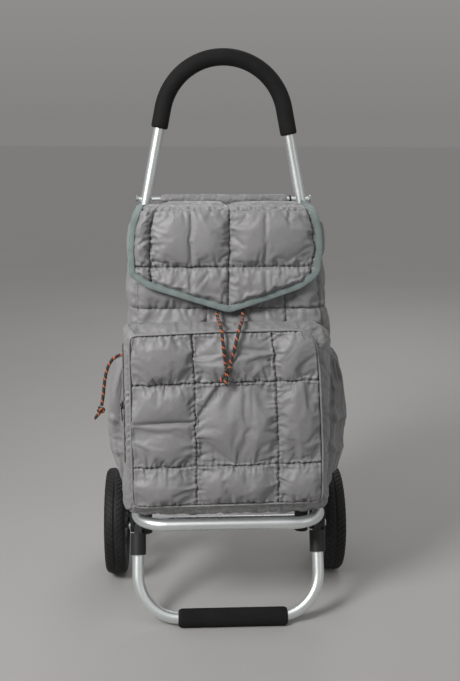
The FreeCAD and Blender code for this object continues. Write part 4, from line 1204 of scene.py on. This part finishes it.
def lay_body():
    quilt = Quilt("bag_quilt", 5, 4)
    total, seams, _ = body_marks(450)
    marks = seams + [seams[0] + total]
    ps = stops(marks, BODY_CELL)[:-1]
    for z in stops(BODY_ROWS, BODY_CELL):
        here_total, here, _ = body_marks(z)
        edges = here + [here[0] + here_total]
        row = []
        for p in ps:
            index = max(k for k in range(len(marks) - 1) if marks[k] <= p + 1e-6)
            share = (p - marks[index]) / (marks[index + 1] - marks[index])
            at = mix(edges[index], edges[index + 1], share)
            across, du = pillow(share, [0, 1])
            du *= edges[index + 1] - edges[index]
            upward, dv = pillow(z, BODY_ROWS)
            distance = min(du, dv)
            held = distance < 0.5
            _, way = body_point(at, z, 0)
            height = 7.5 if way.y < -0.5 else 5.0 if abs(way.x) > 0.7 else 4.0
            if way.y < -0.5 and z < 520:
                height = 4.0
            jitter = quilt.chance.uniform(-0.6, 0.6) if held else 0
            lift = height * across * upward + jitter
            point, _ = body_point(at, z, lift)
            row.append(quilt.add(point, (at, z), 1.0 if held else 0.0, near_seam(distance)))
        quilt.lay(row, closed=True)
    bottom, top = quilt.rows[0], quilt.rows[-1]
    lowest = bottom
    for inset in (5, 22, 45, 75, 92):
        ring = []
        for k, p in enumerate(ps):
            x, y, _ = quilt.points[bottom[k]]
            middle = BODY_FRONT + body_marks(202)[2] / 2
            shrink = 1 - inset / 98
            ring.append(quilt.add((x * shrink, middle + (y - middle) * shrink, 202), (p, 200 - inset),
                                  1.0, near_seam(20)))
        quilt.strip(ring, lowest, closed=True)
        lowest = ring
    quilt.faces.append(tuple(reversed(lowest)))
    highest = top
    for rise, inset in ((3.5, 1.5), (6.5, 4), (9.0, 8), (10.8, 13), (11.8, 19), (12.2, 26), (12.0, 33)):
        ring = []
        for k, p in enumerate(ps):
            x, y, _ = quilt.points[top[k]]
            wave = math.sin(k * 1.13) * 0.8 + math.sin(k * 0.47 + 1) * 0.9
            shift = min(1.0, inset / 20) * wave - (rise + 3) * smooth((y - BODY_FRONT) / 190)
            middle = BODY_FRONT + body_marks(690)[2] / 2
            size = 1 - inset / 105
            ring.append(quilt.add((x * (1 - inset / 157), middle + (y - middle) * size, 690 + rise + shift),
                                  (p, 700 + inset), 1.0, near_seam(2 + abs(inset - 13) * 1.2)))
        quilt.strip(highest, ring, closed=True)
        highest = ring
    for mark in seams:
        quilt.pucker((mark, BODY_ROWS[0]), (mark, BODY_ROWS[-1]), 11)
    for z in BODY_ROWS[1:]:
        quilt.pucker((0, z), (total, z), 11, sides=(-1,) if z == BODY_ROWS[-1] else (-1, 1))
    quilt.make()
    return quilt


bag_quilt = lay_body()

# %% [markdown]
# ### Side pockets
# On each side a patch pocket bulges out of the bag. Its mouth is drawn in by elastic, and below it the
# cloth hangs in upright folds.

# %% Side pockets
PATCH_WIDE, PATCH_TALL, PATCH_HEM = 200, 272, 0.93
POCKET_BULGE = [(0, 9), (0.12, 17), (0.3, 32), (0.5, 36), (0.7, 27), (0.88, 16), (0.95, 11.5), (1, 12.5)]


def lay_side_pocket(side, seed):
    sign = -1 if side == "left" else 1
    quilt = Quilt(f"side_pocket_quilt_{side}", seed, 9)
    low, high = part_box(f"side_pocket_{side}")
    z_low, z_high = low.z / MM + 1, high.z / MM
    y_front, y_back = low.y / MM, high.y / MM
    us = stops([0, 0.5, 1], CELL / PATCH_WIDE)
    vs = stops([0, PATCH_HEM, 1], CELL / PATCH_TALL)
    for v in vs:
        row = []
        for u in us:
            span = mix(y_front, y_back, u if sign > 0 else 1 - u)
            outline = max(0.0, 1 - abs(2 * u - 1) ** 3.2) ** 0.5
            fold = math.sin(u * 31 + 2 * math.sin(v * 3)) * 1.6 + math.sin(u * 57 + 1) * 0.8
            bulge = along(v, POCKET_BULGE) * outline
            bulge += fold * outline * min(1.0, 4 * (1 - v) + 0.45) * min(1.0, 6 * v)
            x = sign * (160.5 + bulge)
            edge = min(u, 1 - u) * PATCH_WIDE
            hem = abs(v - PATCH_HEM) * PATCH_TALL
            held = edge < 1 or v in (vs[0], vs[-1]) or hem < 1
            jitter = quilt.chance.uniform(-1.1, 1.1) if hem < 1 else 0
            row.append(quilt.add((x + sign * jitter, span, mix(z_low, z_high, v)),
                                 (u * PATCH_WIDE, v * PATCH_TALL), 1.0 if held else 0.0,
                                 near_seam(min(edge, hem, v * PATCH_TALL))))
        quilt.lay(row)
    quilt.pucker((0, 253), (200, 253), 6, 1.2, (-1,))
    quilt.pucker((0, 1), (200, 1), 9, 1.0, (1,))
    for count, z, ends, depth, width in ((13, 248, (10, 130), 6.0, 3.2), (9, 2, (60, 170), 5.5, 3.0)):
        for _ in range(count):
            x = quilt.chance.uniform(8, 192)
            quilt.sag((x, z), (x + quilt.chance.uniform(-18, 18), quilt.chance.uniform(*ends)), depth, width)
    quilt.make()
    return quilt


side_quilts = [lay_side_pocket("left", 21), lay_side_pocket("right", 22)]

# %% [markdown]
# ### Flap
# The flap is hinged along the back of the bag's mouth, comes forward over it, turns down at the front and
# ends in a point. It is narrower on top than in front. Its grid runs from the lower edge up the front,
# round the bend and back to the hinge.

# %% Flap
FLAP_FRONT_Y = -136.0
FLAP_TOP_Z = 712.0
FLAP_BEND = 11.0
FLAP_DROP = 13.0
MARGIN = 11.0
FLAP_LEFT = [(545, -160), (606, -160), (648, -161), (680, -158.5), (703, -152), (716, -146), (1000, -146)]
FLAP_RIGHT = [(545, 142), (606, 142), (648, 146), (680, 143), (703, 137), (716, 131), (1000, 140)]
FLAP_LOW = [(0.0, 608), (0.03, 601), (0.10, 587), (0.3, 568), (0.515, 547.5), (0.53, 547.5), (0.72, 566),
            (0.9, 585), (0.97, 599), (1.0, 611)]
FLAP_COLUMNS = [0, 0.112, 0.52, 0.957, 1]
FLAP_SEAM_Z = 620.5


def flap_spot(s, lift):
    """(y, z) of the flap at a height s up its front; past the bend s goes on back along the top."""
    top, turn = FLAP_TOP_Z - FLAP_BEND, FLAP_BEND * math.pi / 2
    if s <= top:
        return FLAP_FRONT_Y - lift, s
    if s <= top + turn:
        angle = (s - top) / FLAP_BEND
        size = FLAP_BEND + lift
        return FLAP_FRONT_Y + FLAP_BEND - size * math.cos(angle), top + size * math.sin(angle)
    back = s - top - turn
    return FLAP_FRONT_Y + FLAP_BEND + back, FLAP_TOP_Z - FLAP_DROP * smooth(back / 190) + lift


def lay_flap():
    quilt = Quilt("flap_quilt", 8, 7)
    hinge_y = flap_high.y / MM - 0.5
    s_bend = FLAP_TOP_Z - FLAP_BEND + FLAP_BEND * math.pi / 2
    s_end = s_bend + hinge_y - (FLAP_FRONT_Y + FLAP_BEND)
    gather = FLAP_TOP_Z - 1
    us = stops(FLAP_COLUMNS, CELL / 305)
    lower = stops([0, 1], 1 / 14)
    behind = s_bend + 16
    upper_seams = [FLAP_SEAM_Z, gather, behind, mix(behind, s_end, 0.5), s_end]
    upper = stops(upper_seams, CELL)[1:]
    for v in lower + upper:
        row = []
        for u in us:
            if v <= 1:
                low = along(u, FLAP_LOW)
                s = mix(low, FLAP_SEAM_Z, v)
                upward, _ = pillow(v, [-0.35, 1])
                dv = min(v, 1 - v) * (FLAP_SEAM_Z - low)
                edge = v * (FLAP_SEAM_Z - low)
            else:
                s = v
                upward, dv = pillow(v, upper_seams)
                edge = s_end - s
            left, right = along(s, FLAP_LEFT), along(s, FLAP_RIGHT)
            x = mix(left, right, u)
            across, du = pillow(u, FLAP_COLUMNS)
            du *= right - left
            edge = min(edge, u * (right - left), (1 - u) * (right - left))
            distance = min(du, dv)
            gathered = abs(v - gather) < 0.1 or abs(v - behind) < 0.1
            held = distance < 0.5 or edge < MARGIN
            height = 11.0 if v <= gather else 2.5 if v < behind else 2.0
            crease = 0.28 * math.exp(-((x + 62) / 4) ** 2) + 0.25 * math.exp(-((x - 55) / 4) ** 2)
            crease *= 1 if FLAP_SEAM_Z - 40 < s < 660 else 0.35
            jitter = 0
            if held and edge > MARGIN:
                jitter = quilt.chance.uniform(-0.7, 0.7) * (1.8 if gathered else 1)
            lift = height * across * upward * (1 - crease) * smooth((edge - MARGIN + 3) / 9) + jitter
            step_x, step_s = wander(x, s, 7.0)
            inside = min(1.0, edge / 16)
            y, z = flap_spot(s + step_s * inside, lift)
            row.append(quilt.add((x + step_x * inside, y, z), (x + 160, s), 1.0 if held else 0.0,
                                 near_seam(distance)))
        quilt.lay(row)
    for u in FLAP_COLUMNS[1:-1]:
        x = mix(-160, 143, u) + 160
        quilt.pucker((x, 570), (x, gather), 8.5)
    for s in upper_seams[:3]:
        quilt.pucker((0, s), (305, s), 7.5, 1.15)
    quilt.pucker((15, 590), (158, 552), 11, 0.9, (1,))
    quilt.pucker((162, 552), (300, 600), 11, 0.9, (1,))
    quilt.make()
    rows = quilt.rows
    quilt.edge = ([quilt.start[row[0]] for row in rows[::-1]] + [quilt.start[k] for k in rows[0][1:-1]]
                  + [quilt.start[row[-1]] for row in rows])
    return quilt


flap_quilt = lay_flap()

# %% Crumple the cloth
QUILTS = [bag_quilt, pocket_quilt, flap_quilt, *side_quilts]
crumple(QUILTS)
finish_quilt(bag_quilt, 3.0, "root", ["bag_body"])
finish_quilt(pocket_quilt, 3.0, "root", ["front_pocket"])
finish_quilt(flap_quilt, 3.0, "flap", ["bag_flap"])
for quilt, side in zip(side_quilts, ("left", "right")):
    finish_quilt(quilt, 2.0, "root", [f"side_pocket_{side}"])

# %% [markdown]
# ### Binding of the flap
# The raw edge of the flap is folded into a ribbed tape, sewn down with two rows of stitches. The tape is a
# flat rounded band swept along the flap's edge. Each stitch is a copy of one small stretched ball.

# %% Binding and its stitches
TAPE_WIDE, TAPE_THICK, TAPE_SIDES = 11.0, 6.0, 16


def smoothed(points, times):
    for _ in range(times):
        inner = [(a + b * 2 + c) / 4 for a, b, c in zip(points, points[1:], points[2:])]
        points = [points[0]] + inner + [points[-1]]
    return points


def flap_facing(point):
    """Outward direction of the flap's face at a point of its edge."""
    y, z = point.y / MM, point.z / MM
    top = FLAP_TOP_Z - FLAP_BEND
    if z <= top:
        return Vector((0, -1, 0))
    if y >= FLAP_FRONT_Y + FLAP_BEND:
        return Vector((0, 0, 1))
    angle = math.atan2(z - top, FLAP_FRONT_Y + FLAP_BEND - y)
    return Vector((0, -math.cos(angle), math.sin(angle)))


edge_line = evenly(smoothed(evenly(flap_quilt.edge, 2.5 * MM), 5), 3 * MM)
edge_facing = smoothed([flap_facing(p) for p in edge_line], 3)
edge_way = [(edge_line[min(k + 1, len(edge_line) - 1)] - edge_line[max(k - 1, 0)]).normalized()
            for k in range(len(edge_line))]
edge_inward = [way.cross(face).normalized() for way, face in zip(edge_way, edge_facing)]
if edge_inward[len(edge_line) // 2].z < 0:
    edge_inward = [-way for way in edge_inward]


def make_binding():
    section = []
    for k in range(TAPE_SIDES):
        angle = 2 * math.pi * k / TAPE_SIDES
        c, s = math.cos(angle), math.sin(angle)
        section.append((math.copysign(abs(c) ** 0.35, c) * TAPE_WIDE / 2,
                        math.copysign(abs(s) ** 0.6, s) * TAPE_THICK / 2))
    points, faces, uvs = [], [], []
    chance = random.Random(4)
    for k, (spot, face, inward) in enumerate(zip(edge_line, edge_facing, edge_inward)):
        wave = 0.25 * math.sin(k * 0.9) + chance.uniform(-0.12, 0.12)
        for across, out in section:
            points.append(spot + inward * (across + TAPE_WIDE / 2 - 1.2 + wave * 0.5) * MM
                          + face * (out + 0.3 + (wave if out > 0 else 0)) * MM)
    for k in range(len(edge_line) - 1):
        for n in range(TAPE_SIDES):
            here, m = k * TAPE_SIDES, (n + 1) % TAPE_SIDES
            faces.append((here + n, here + m, here + TAPE_SIDES + m, here + TAPE_SIDES + n))
            uvs += [(n * 0.002, k * 0.003), ((n + 1) * 0.002, k * 0.003),
                    ((n + 1) * 0.002, (k + 1) * 0.003), (n * 0.002, (k + 1) * 0.003)]
    last = (len(edge_line) - 1) * TAPE_SIDES
    faces += [tuple(range(TAPE_SIDES - 1, -1, -1)), tuple(range(last, last + TAPE_SIDES))]
    uvs += [(0, 0)] * (2 * TAPE_SIDES)
    tape = new_mesh("flap_binding_tape", points, faces)
    give_uv(tape, "cloth", uvs)
    face_outwards(tape)
    smooth_faces(tape, 50)
    return finish_piece(tape, "flap", binding_tape, ["flap_binding"])


binding = make_binding()


def stitch_row(name, spots, ways, facings, length=2.7, thick=0.42, thread=None, body="flap", slot="binding"):
    """One stretched ball, copied to every spot and laid along its way."""
    select_only(None)
    bpy.ops.mesh.primitive_ico_sphere_add(subdivisions=1, radius=1)
    ball = bpy.context.object
    shape = [v.co.copy() for v in ball.data.vertices]
    sides = [tuple(p.vertices) for p in ball.data.polygons]
    bpy.data.objects.remove(ball)
    points, faces = [], []
    for spot, way, face in zip(spots, ways, facings):
        across = way.cross(face).normalized()
        base = len(points)
        points += [spot + (way * p.x * length / 2 + across * p.y * thick + face * p.z * thick) * MM
                   for p in shape]
        faces += [tuple(base + k for k in side) for side in sides]
    row = new_mesh(name, points, faces)
    smooth_faces(row)
    return finish_piece(row, body, thread or green_thread)


def stitch_places(line, ways, facings, inwards, inset, out, pitch=3.9):
    spots, way_list, face_list, left = [], [], [], pitch * MM
    for k in range(1, len(line)):
        run = (line[k] - line[k - 1]).length
        while left <= run:
            share = left / run
            spots.append(line[k - 1].lerp(line[k], share) + inwards[k] * inset * MM + facings[k] * out * MM)
            way_list.append(ways[k])
            face_list.append(facings[k])
            left += pitch * MM
        left -= run
    return spots, way_list, face_list


outer_row = stitch_places(edge_line, edge_way, edge_facing, edge_inward, 1.0, 3.0)
inner_row = stitch_places(edge_line, edge_way, edge_facing, edge_inward, 8.2, 3.15)
stitches = stitch_row("binding_stitches", *(a + b for a, b in zip(outer_row, inner_row)))
print("binding", round(sum((b - a).length for a, b in zip(edge_line, edge_line[1:])), 3), "m,",
      len(outer_row[0]) + len(inner_row[0]), "stitches")

# %% [markdown]
# ### Piping of the pocket
# A thin piping cord, covered with the same nylon, is sewn in where the pocket's face meets its gusset.

# %% Piping
def soft_tube(name, path, radius, sides=10, closed=False):
    """A tube whose UV map is in metres both ways, for cloth."""
    made = tube(name, path, radius, sides=sides, closed=closed)
    layer = made.data.uv_layers["along"]
    layer.name = "cloth"
    for loop in layer.data:
        loop.uv.x *= 2 * math.pi * radius
    return made


rim_middle = Vector((-6, 0, 376)) * MM
rim_path = []
for spot in pocket_quilt.rim_line:
    away = Vector((spot.x - rim_middle.x, 0, spot.z - rim_middle.z)).normalized()
    rim_path.append(spot + away * 1.2 * MM + Vector((0, -1.4 * MM, 0)))
rim_path = smoothed(evenly(rim_path + [rim_path[0]], 4 * MM), 1)[:-1]
piping = soft_tube("pocket_piping_cord", rim_path, 1.7 * MM, closed=True)
finish_piece(piping, "root", hem_cloth, ["pocket_piping"])

# %% [markdown]
# ### Zip
# The pocket opens at its left side with a coil zip: two woven tapes, a row of small teeth on each, and a
# slider with a hanging pull. One tooth is modelled and copied up the zip.

# %% Zip tapes and teeth
tape_low, tape_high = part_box("zip_tape")
zip_x, zip_y = -171.9 * MM, (tape_low.y + tape_high.y) / 2


def bevelled_box(name, low, high, edge, segments=2, cuts=0):
    """A block between two corners with its edges rounded."""
    select_only(None)
    bpy.ops.mesh.primitive_cube_add(size=1, location=(low + high) / 2)
    block = bpy.context.object
    block.name = name
    block.scale = high - low
    bpy.ops.object.transform_apply(location=True, rotation=True, scale=True)
    edit_all(block)
    if cuts:
        bpy.ops.mesh.subdivide(number_cuts=cuts)
    bpy.ops.object.mode_set(mode="OBJECT")
    if edge:
        bevel = block.modifiers.new("edge", "BEVEL")
        bevel.width, bevel.segments, bevel.limit_method = edge, segments, "ANGLE"
        apply_modifiers(block)
    smooth_faces(block, 40)
    return block


def block_uv(thing, name="cloth"):
    """Flat coordinates in metres for a block that faces sideways."""
    layers = thing.data.uv_layers
    layer = layers[name] if name in layers else layers.new(name=name)
    for face in thing.data.polygons:
        for loop in face.loop_indices:
            co = thing.data.vertices[thing.data.loops[loop].vertex_index].co
            layer.data[loop].uv = (co.y + co.x, co.z)


webs = []
for sign in (-1, 1):
    near, far = zip_y + sign * 1.0 * MM, zip_y + sign * 6.8 * MM
    web = bevelled_box("web", Vector((zip_x - 0.5 * MM, min(near, far), tape_low.z)),
                       Vector((zip_x + 0.6 * MM, max(near, far), tape_high.z)), 0.3 * MM, 2)
    webs.append(web)
zip_tapes = join_as("zip_tapes", webs)
block_uv(zip_tapes)
finish_piece(zip_tapes, "root", zip_web, ["zip_tape"])

tooth = bevelled_box("tooth", Vector((-1.1, -1.5, -0.55)) * MM, Vector((0.6, 1.5, 0.55)) * MM, 0.35 * MM, 1)
teeth = []
tooth_pitch = 1.9 * MM
for k in range(int((tape_high.z - tape_low.z - 4 * MM) / tooth_pitch)):
    teeth.append(placed_copy(tooth, Matrix.Translation((
        zip_x - 0.6 * MM, zip_y + (0.55 if k % 2 else -0.55) * MM, tape_low.z + 2 * MM + k * tooth_pitch))))
bpy.data.objects.remove(tooth)
zip_teeth = join_as("zip_teeth", teeth)
block_uv(zip_teeth)
finish_piece(zip_teeth, "root", zip_web)

# %% Zip slider and pull
def metal_ring(radius, thickness, segments, place, turn):
    select_only(None)
    bpy.ops.mesh.primitive_torus_add(major_radius=radius, minor_radius=thickness, major_segments=segments,
                                     minor_segments=8, location=place, rotation=turn)
    return named_primitive("ring")


slider_low, slider_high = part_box("zip_slider")
pull_low, pull_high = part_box("zip_pull")
slide_x = zip_x - 0.8 * MM
shoe = bevelled_box("shoe", Vector((slide_x - 2.2 * MM, slider_low.y, slider_low.z)),
                    Vector((slide_x, slider_high.y, slider_high.z)), 0.7 * MM, 3, 2)
for corner in shoe.data.vertices:
    share = (corner.co.z - slider_low.z) / (slider_high.z - slider_low.z)
    corner.co.y = zip_y + (corner.co.y - zip_y) * mix(0.72, 1.0, smooth(share))
bridge_path = spline_points([Vector((slide_x - 1.6 * MM, zip_y, slider_low.z + 2 * MM)),
                             Vector((slide_x - 4.4 * MM, zip_y, slider_low.z + 3 * MM)),
                             Vector((slide_x - 4.6 * MM, zip_y, slider_high.z - 4 * MM)),
                             Vector((slide_x - 1.6 * MM, zip_y, slider_high.z - 2 * MM))])
bridge = tube("bridge", bridge_path, 0.8 * MM, sides=10)
slider = join_as("zip_slider_body", [shoe, bridge])
smooth_faces(slider, 40)
finish_piece(slider, "zip", dark_metal, ["zip_slider"])

tab_top = Vector((slide_x - 3.6 * MM, zip_y, pull_high.z - 0.5 * MM))
tab = bevelled_box("tab", Vector((tab_top.x - 0.8 * MM, pull_low.y, pull_low.z)),
                   Vector((tab_top.x + 0.8 * MM, pull_high.y, pull_high.z - 3 * MM)), 0.6 * MM, 3, 3)
for corner in tab.data.vertices:
    share = (corner.co.z - pull_low.z) / (pull_high.z - pull_low.z)
    corner.co.y = zip_y + (corner.co.y - zip_y) * mix(1.0, 0.6, smooth(share))
    corner.co.x += mix(1.2, 0.0, share) * MM
eye = metal_ring(2.3 * MM, 0.6 * MM, 24, tab_top - Vector((0, 0, 1.2 * MM)), (0, math.pi / 2, 0))
zip_tab = join_as("zip_pull_tab", [tab, eye])
smooth_faces(zip_tab, 40)
finish_piece(zip_tab, "zip", dark_metal, ["zip_pull"])

# %% [markdown]
# ### Cord guides
# Each drawcord leaves the bag through a folded tab of nylon with a small metal eyelet. The side cord leaves
# through a tab of its own between the pocket and the side pocket.

# %% Cord guides
def guide_tab(low, high, eyelet, facing):
    tab = bevelled_box("tab", low, high, 1.6 * MM, 3, 2)
    turn = Vector((0, 0, 1)).rotation_difference(facing).to_euler()
    return tab, metal_ring(3.6 * MM, 0.8 * MM, 28, eyelet, turn)


guide_low, guide_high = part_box("drawcord_guides")
tabs, rings = [], []
for name in ("drawcord_left", "drawcord_right"):
    exit_spot = mm(*ROUTES[name][0])
    tab, ring = guide_tab(Vector((exit_spot.x - 7 * MM, guide_low.y + 0.8 * MM, guide_low.z + 0.6 * MM)),
                          Vector((exit_spot.x + 7 * MM, guide_high.y + 3 * MM, guide_high.z)),
                          exit_spot + Vector((0, 0, 0.8 * MM)), Vector((0, 0, 1)))
    tabs.append(tab)
    rings.append(ring)
front_tabs = join_as("drawcord_tabs", tabs)
block_uv(front_tabs)
finish_piece(front_tabs, "root", hem_cloth, ["drawcord_guides"])
side_low, side_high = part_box("side_cord_guide")
side_exit = mm(*ROUTES["side_cord"][0])
side_tab, side_ring = guide_tab(side_low + Vector((1.2 * MM, 0.4 * MM, 0)),
                                side_high + Vector((2 * MM, -0.4 * MM, 0)),
                                side_exit + Vector((0.6 * MM, 0, 0)), Vector((1, 0, 0)))
side_tab.name = "side_cord_tab"
block_uv(side_tab)
finish_piece(side_tab, "root", hem_cloth, ["side_cord_guide"])
eyelets = join_as("cord_eyelets", rings + [side_ring])
smooth_faces(eyelets)
finish_piece(eyelets, "root", dark_metal)

# %% [markdown]
# ### Sleeve on the crossbar
# A hem of the back panel is sewn into a sleeve round the crossbar and carries the bag. It is gathered, so
# it is swept round the bar with folds that change along it, and its lower side runs down to the bag as a
# short web.

# %% Sleeve on the crossbar
def make_sleeve():
    low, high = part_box("crossbar_sleeve")
    middle = (low + high) / 2
    sides, steps = 28, 120
    chance = random.Random(12)
    bumps = [(chance.uniform(0, 6.28), chance.uniform(2, 6), chance.uniform(0.15, 0.4)) for _ in range(9)]
    points, faces, uvs = [], [], []
    for k in range(steps + 1):
        x = mix(low.x, high.x, k / steps)
        end = min(k, steps - k) / 4
        for n in range(sides):
            angle = 2 * math.pi * n / sides
            down = max(0.0, -math.sin(angle))
            fold = sum(size * math.sin(rate * angle + phase + x / MM * 0.021 * rate * (1 if j % 2 else -1.6))
                       for j, (phase, rate, size) in enumerate(bumps))
            fold += 0.5 * math.sin(x / MM * 0.55 + 3 * angle) * math.sin(x / MM * 0.11)
            radius = 8.4 + fold * 0.75 + (8.5 * down ** 6 if end > 0 else 0)
            if end < 1:
                radius = mix(6.5, radius, smooth(end))
            slim = 1 - 0.45 * down ** 2
            points.append(Vector((x, middle.y + math.cos(angle) * radius * slim * MM - 1.5 * MM * down,
                                  middle.z + math.sin(angle) * radius * MM)))
    for k in range(steps):
        for n in range(sides):
            m = (n + 1) % sides
            faces.append((k * sides + n, (k + 1) * sides + n, (k + 1) * sides + m, k * sides + m))
            size = (high.x - low.x) / steps
            uvs += [(n * 0.002, k * size), (n * 0.002, (k + 1) * size), ((n + 1) * 0.002, (k + 1) * size),
                    ((n + 1) * 0.002, k * size)]
    last = steps * sides
    faces += [tuple(range(sides)), tuple(range(last + sides - 1, last - 1, -1))]
    uvs += [(0, 0)] * (2 * sides)
    sleeve = new_mesh("crossbar_sleeve_cloth", points, faces)
    give_uv(sleeve, "cloth", uvs)
    face_outwards(sleeve)
    round_off(sleeve)
    smooth_faces(sleeve, 60)
    return finish_piece(sleeve, "root", puffer, ["crossbar_sleeve"])


make_sleeve()

# %% [markdown]
# ### Folding
# When the platform folds up, the real bag crumples flat against the legs. Here every soft piece only gets a
# mesh of its own; nothing flattens it towards the plane of the bag's back panel, which leans with the legs.

# %% Soft pieces get meshes of their own
back_spot = mm(0, body_back(450) + BACK_RECESS, 450)
SOFT = ([quilt.thing for quilt in QUILTS] + [binding, stitches, piping, zip_tapes, zip_teeth, slider, zip_tab,
                                            front_tabs, side_tab, eyelets]
        + [bpy.data.objects[name] for name in bpy.data.objects.keys() if name.endswith("_braid")])
for piece in SOFT:
    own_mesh(piece)
print(len(SOFT), "pieces flatten with the platform")

# %% [markdown]
# ## Floor and light
# The floor is plain and pale. A large soft lamp stands high on the left in front, a weaker one fills from
# the right, and a third lights the tubes from behind. The sky is about as bright as the far floor at the
# horizon, so that the line between them stays faint, and it brightens overhead.

# %% Floor, lights and sky
def floor_finish():
    made = Finish("studio_floor", Specular_IOR_Level=0.2)
    cloud = made.noise(made.place(), 3, 3)
    base = made.blend(cloud, (0.38, 0.372, 0.362, 1), (0.41, 0.402, 0.392, 1))
    return made.feed(Base_Color=base, Roughness=0.75 + cloud * 0.1)


select_only(None)
bpy.ops.mesh.primitive_plane_add(size=60)
floor = bpy.context.object
floor.name = "studio_floor"
floor.data.materials.append(floor_finish())


def lamp(name, place, target, size, power, tint=(1, 1, 1), spread=180):
    light = bpy.data.lights.new(name, "AREA")
    light.shape, light.size, light.energy, light.color = "DISK", size, power, tint
    light.spread = math.radians(spread)
    stand = bpy.data.objects.new(name, light)
    stand.location = place
    stand.rotation_euler = (Vector(place) - Vector(target)).to_track_quat("Z", "Y").to_euler()
    bpy.context.scene.collection.objects.link(stand)


lamp("key_light", (-1.2, -1.35, 1.6), (-0.16, -0.1, 0.53), 0.7, 6.9, (1, 0.99, 0.98), 70)
lamp("fill_light", (2.4, -1.9, 1.2), (0, 0, 0.4), 1.8, 5, (0.96, 0.98, 1))
lamp("rim_light", (0.6, 2.2, 2.1), (0, 0, 0.6), 1.2, 12)
world = bpy.context.scene.world or bpy.data.worlds.new("studio")
bpy.context.scene.world = world
world.use_nodes = True
sky = world.node_tree.nodes
wires = world.node_tree.links
where = sky.new("ShaderNodeTexCoord")
parts = sky.new("ShaderNodeSeparateXYZ")
height = sky.new("ShaderNodeValToRGB")
wires.new(where.outputs["Generated"], parts.inputs[0])
wires.new(parts.outputs["Z"], height.inputs[0])
height.color_ramp.elements[0].color = (0.225, 0.221, 0.214, 1)
height.color_ramp.elements[1].color = (0.62, 0.62, 0.63, 1)
wires.new(height.outputs["Color"], sky["Background"].inputs["Color"])
sky["Background"].inputs["Strength"].default_value = 1.0
bpy.context.scene.view_settings.view_transform = "Standard"

# %% Update the scene
bpy.context.view_layer.update()
